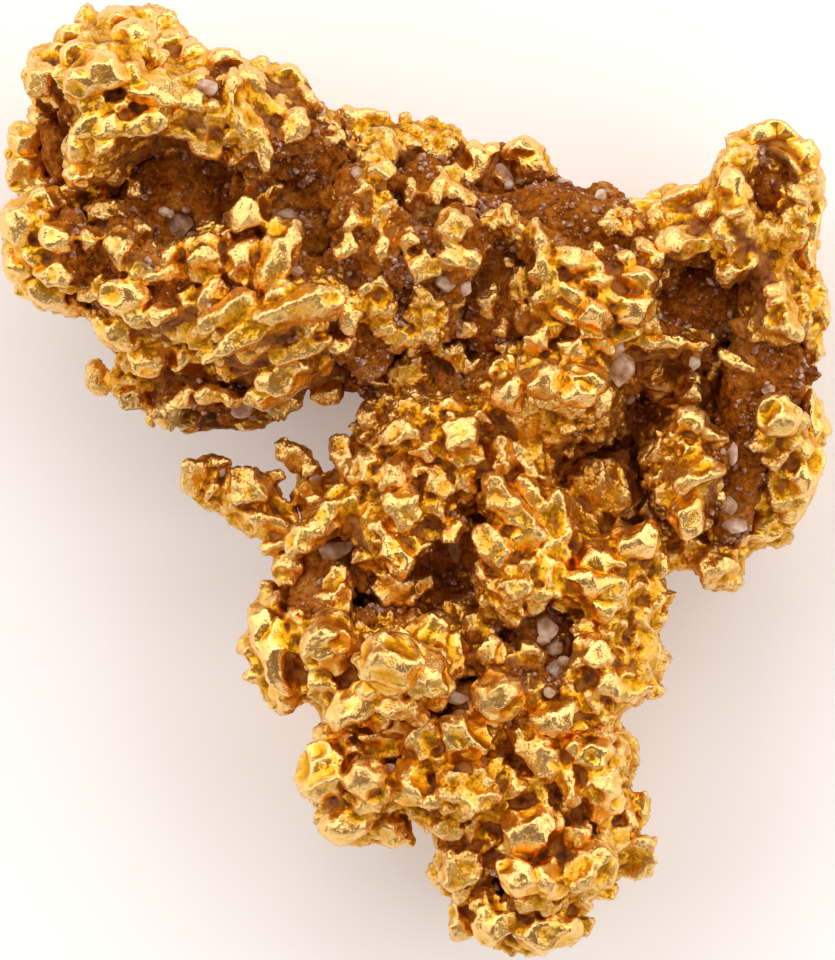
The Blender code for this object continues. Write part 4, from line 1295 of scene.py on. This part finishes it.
def make_studio():
    make_floor()
    world = bpy.data.worlds.new("studio")
    world.use_nodes = True
    # The room beyond the softboxes is dim and warm, so folds that face it keep the colour of gold
    set_up(world, world.node_tree.nodes["Background"], {"Color": (1.0, 0.7, 0.52, 1), "Strength": 0.22})
    bpy.context.scene.world = world
    add_softbox("softbox_top", place=(0.0, 0.38, 0.33), size=(0.80, 0.48), brightness=1.8)
    add_softbox("softbox_right", place=(0.41, 0.03, 0.28), size=(0.46, 0.60), brightness=1.35)
    add_softbox("softbox_left", place=(-0.41, 0.06, 0.28), size=(0.46, 0.60), brightness=1.35)
    add_softbox("softbox_near", place=(0.02, -0.42, 0.22), size=(0.60, 0.28), brightness=0.82)
    bpy.context.scene.view_settings.view_transform = "Standard"


def make_camera():
    """Looks straight down. The picture is 960 grid steps high at the middle of the nugget's height."""
    data = bpy.data.cameras.new("camera")
    camera = bpy.data.objects.new("camera", data)
    bpy.context.scene.collection.objects.link(camera)
    distance = 0.45
    sensor = 24.0
    data.sensor_fit = "VERTICAL"
    data.sensor_height = sensor
    data.lens = sensor * distance / (PICTURE[1] * GRID)
    data.clip_start = 0.01
    middle = at(PICTURE[0] / 2, PICTURE[1] / 2)
    camera.location = (middle.x, middle.y, distance + 8 * MM)
    bpy.context.scene.camera = camera


# ---------------------------------------------------------------- putting it together


def fit_to_model(pieces):
    """Keeps every piece inside the model's box by a hair of scaling, and flat where it meets the ground."""
    low = np.min([points_of(piece.data).min(axis=0) for piece in pieces], axis=0)
    high = np.max([points_of(piece.data).max(axis=0) for piece in pieces], axis=0)
    box_low, box_high = np.array(cad_box[0]), np.array(cad_box[1])
    scale = np.ones(3)
    shift = np.zeros(3)
    for axis in (0, 1):
        scale[axis] = min(1.0, 0.999 * (box_high[axis] - box_low[axis]) / (high[axis] - low[axis]))
        shift[axis] = (box_high[axis] + box_low[axis]) / 2 - scale[axis] * (high[axis] + low[axis]) / 2
    scale[2] = min(1.0, 0.999 * box_high[2] / high[2])
    for piece in pieces:
        points = points_of(piece.data) * scale + shift
        points[:, 2] = np.maximum(points[:, 2], box_low[2])
        set_points(piece.data, points)


def finish_piece(piece, finish, slot, *nodes):
    piece.data.materials.clear()
    piece.data.materials.append(finish)
    if slot == "quartz":
        piece.data.shade_flat()
    else:
        piece.data.shade_smooth()
    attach(piece, "root")
    if nodes:
        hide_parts(*nodes)


def main():
    core = smooth_core()
    earth = make_earth(tree_of(core))
    seat_tree = tree_of(core, *earth.values())
    gold = make_gold(core, seat_tree, tree_of(*earth.values()))
    quartz = make_quartz(seat_tree)
    sand = make_sand(earth.values())
    for shape in (core, *(shape for shapes in TEMPLATES.values() for shape in shapes)):
        bpy.data.objects.remove(shape)
    fit_to_model([*sand, *gold, *earth.values(), *quartz.values()])

    gold_finish, earth_finish = native_gold(), ironstone_earth()
    quartz_finish = quartz_of(
        "milky_quartz", veil=0.65 * MM, depth=0.25, stain=("#9A6A48", "#C29A7C", "#DCBEA6", "#EAD8C8")
    )
    sand_finish = quartz_of(
        "stained_sand", veil=0.3 * MM, depth=0.0, stain=("#6E3E20", "#9A6442", "#BC8E72", "#E0C6B6")
    )
    for piece in gold:
        finish_piece(piece, gold_finish, "gold", "gold_body")
    for name, piece in earth.items():
        finish_piece(piece, earth_finish, "ironstone_earth", name)
    for name, piece in quartz.items():
        nodes = [name] if name in frame["nodes"] else []
        finish_piece(piece, quartz_finish, "quartz", *nodes)
    for piece in sand:
        finish_piece(piece, sand_finish, "quartz")


main()
make_camera()
make_studio()
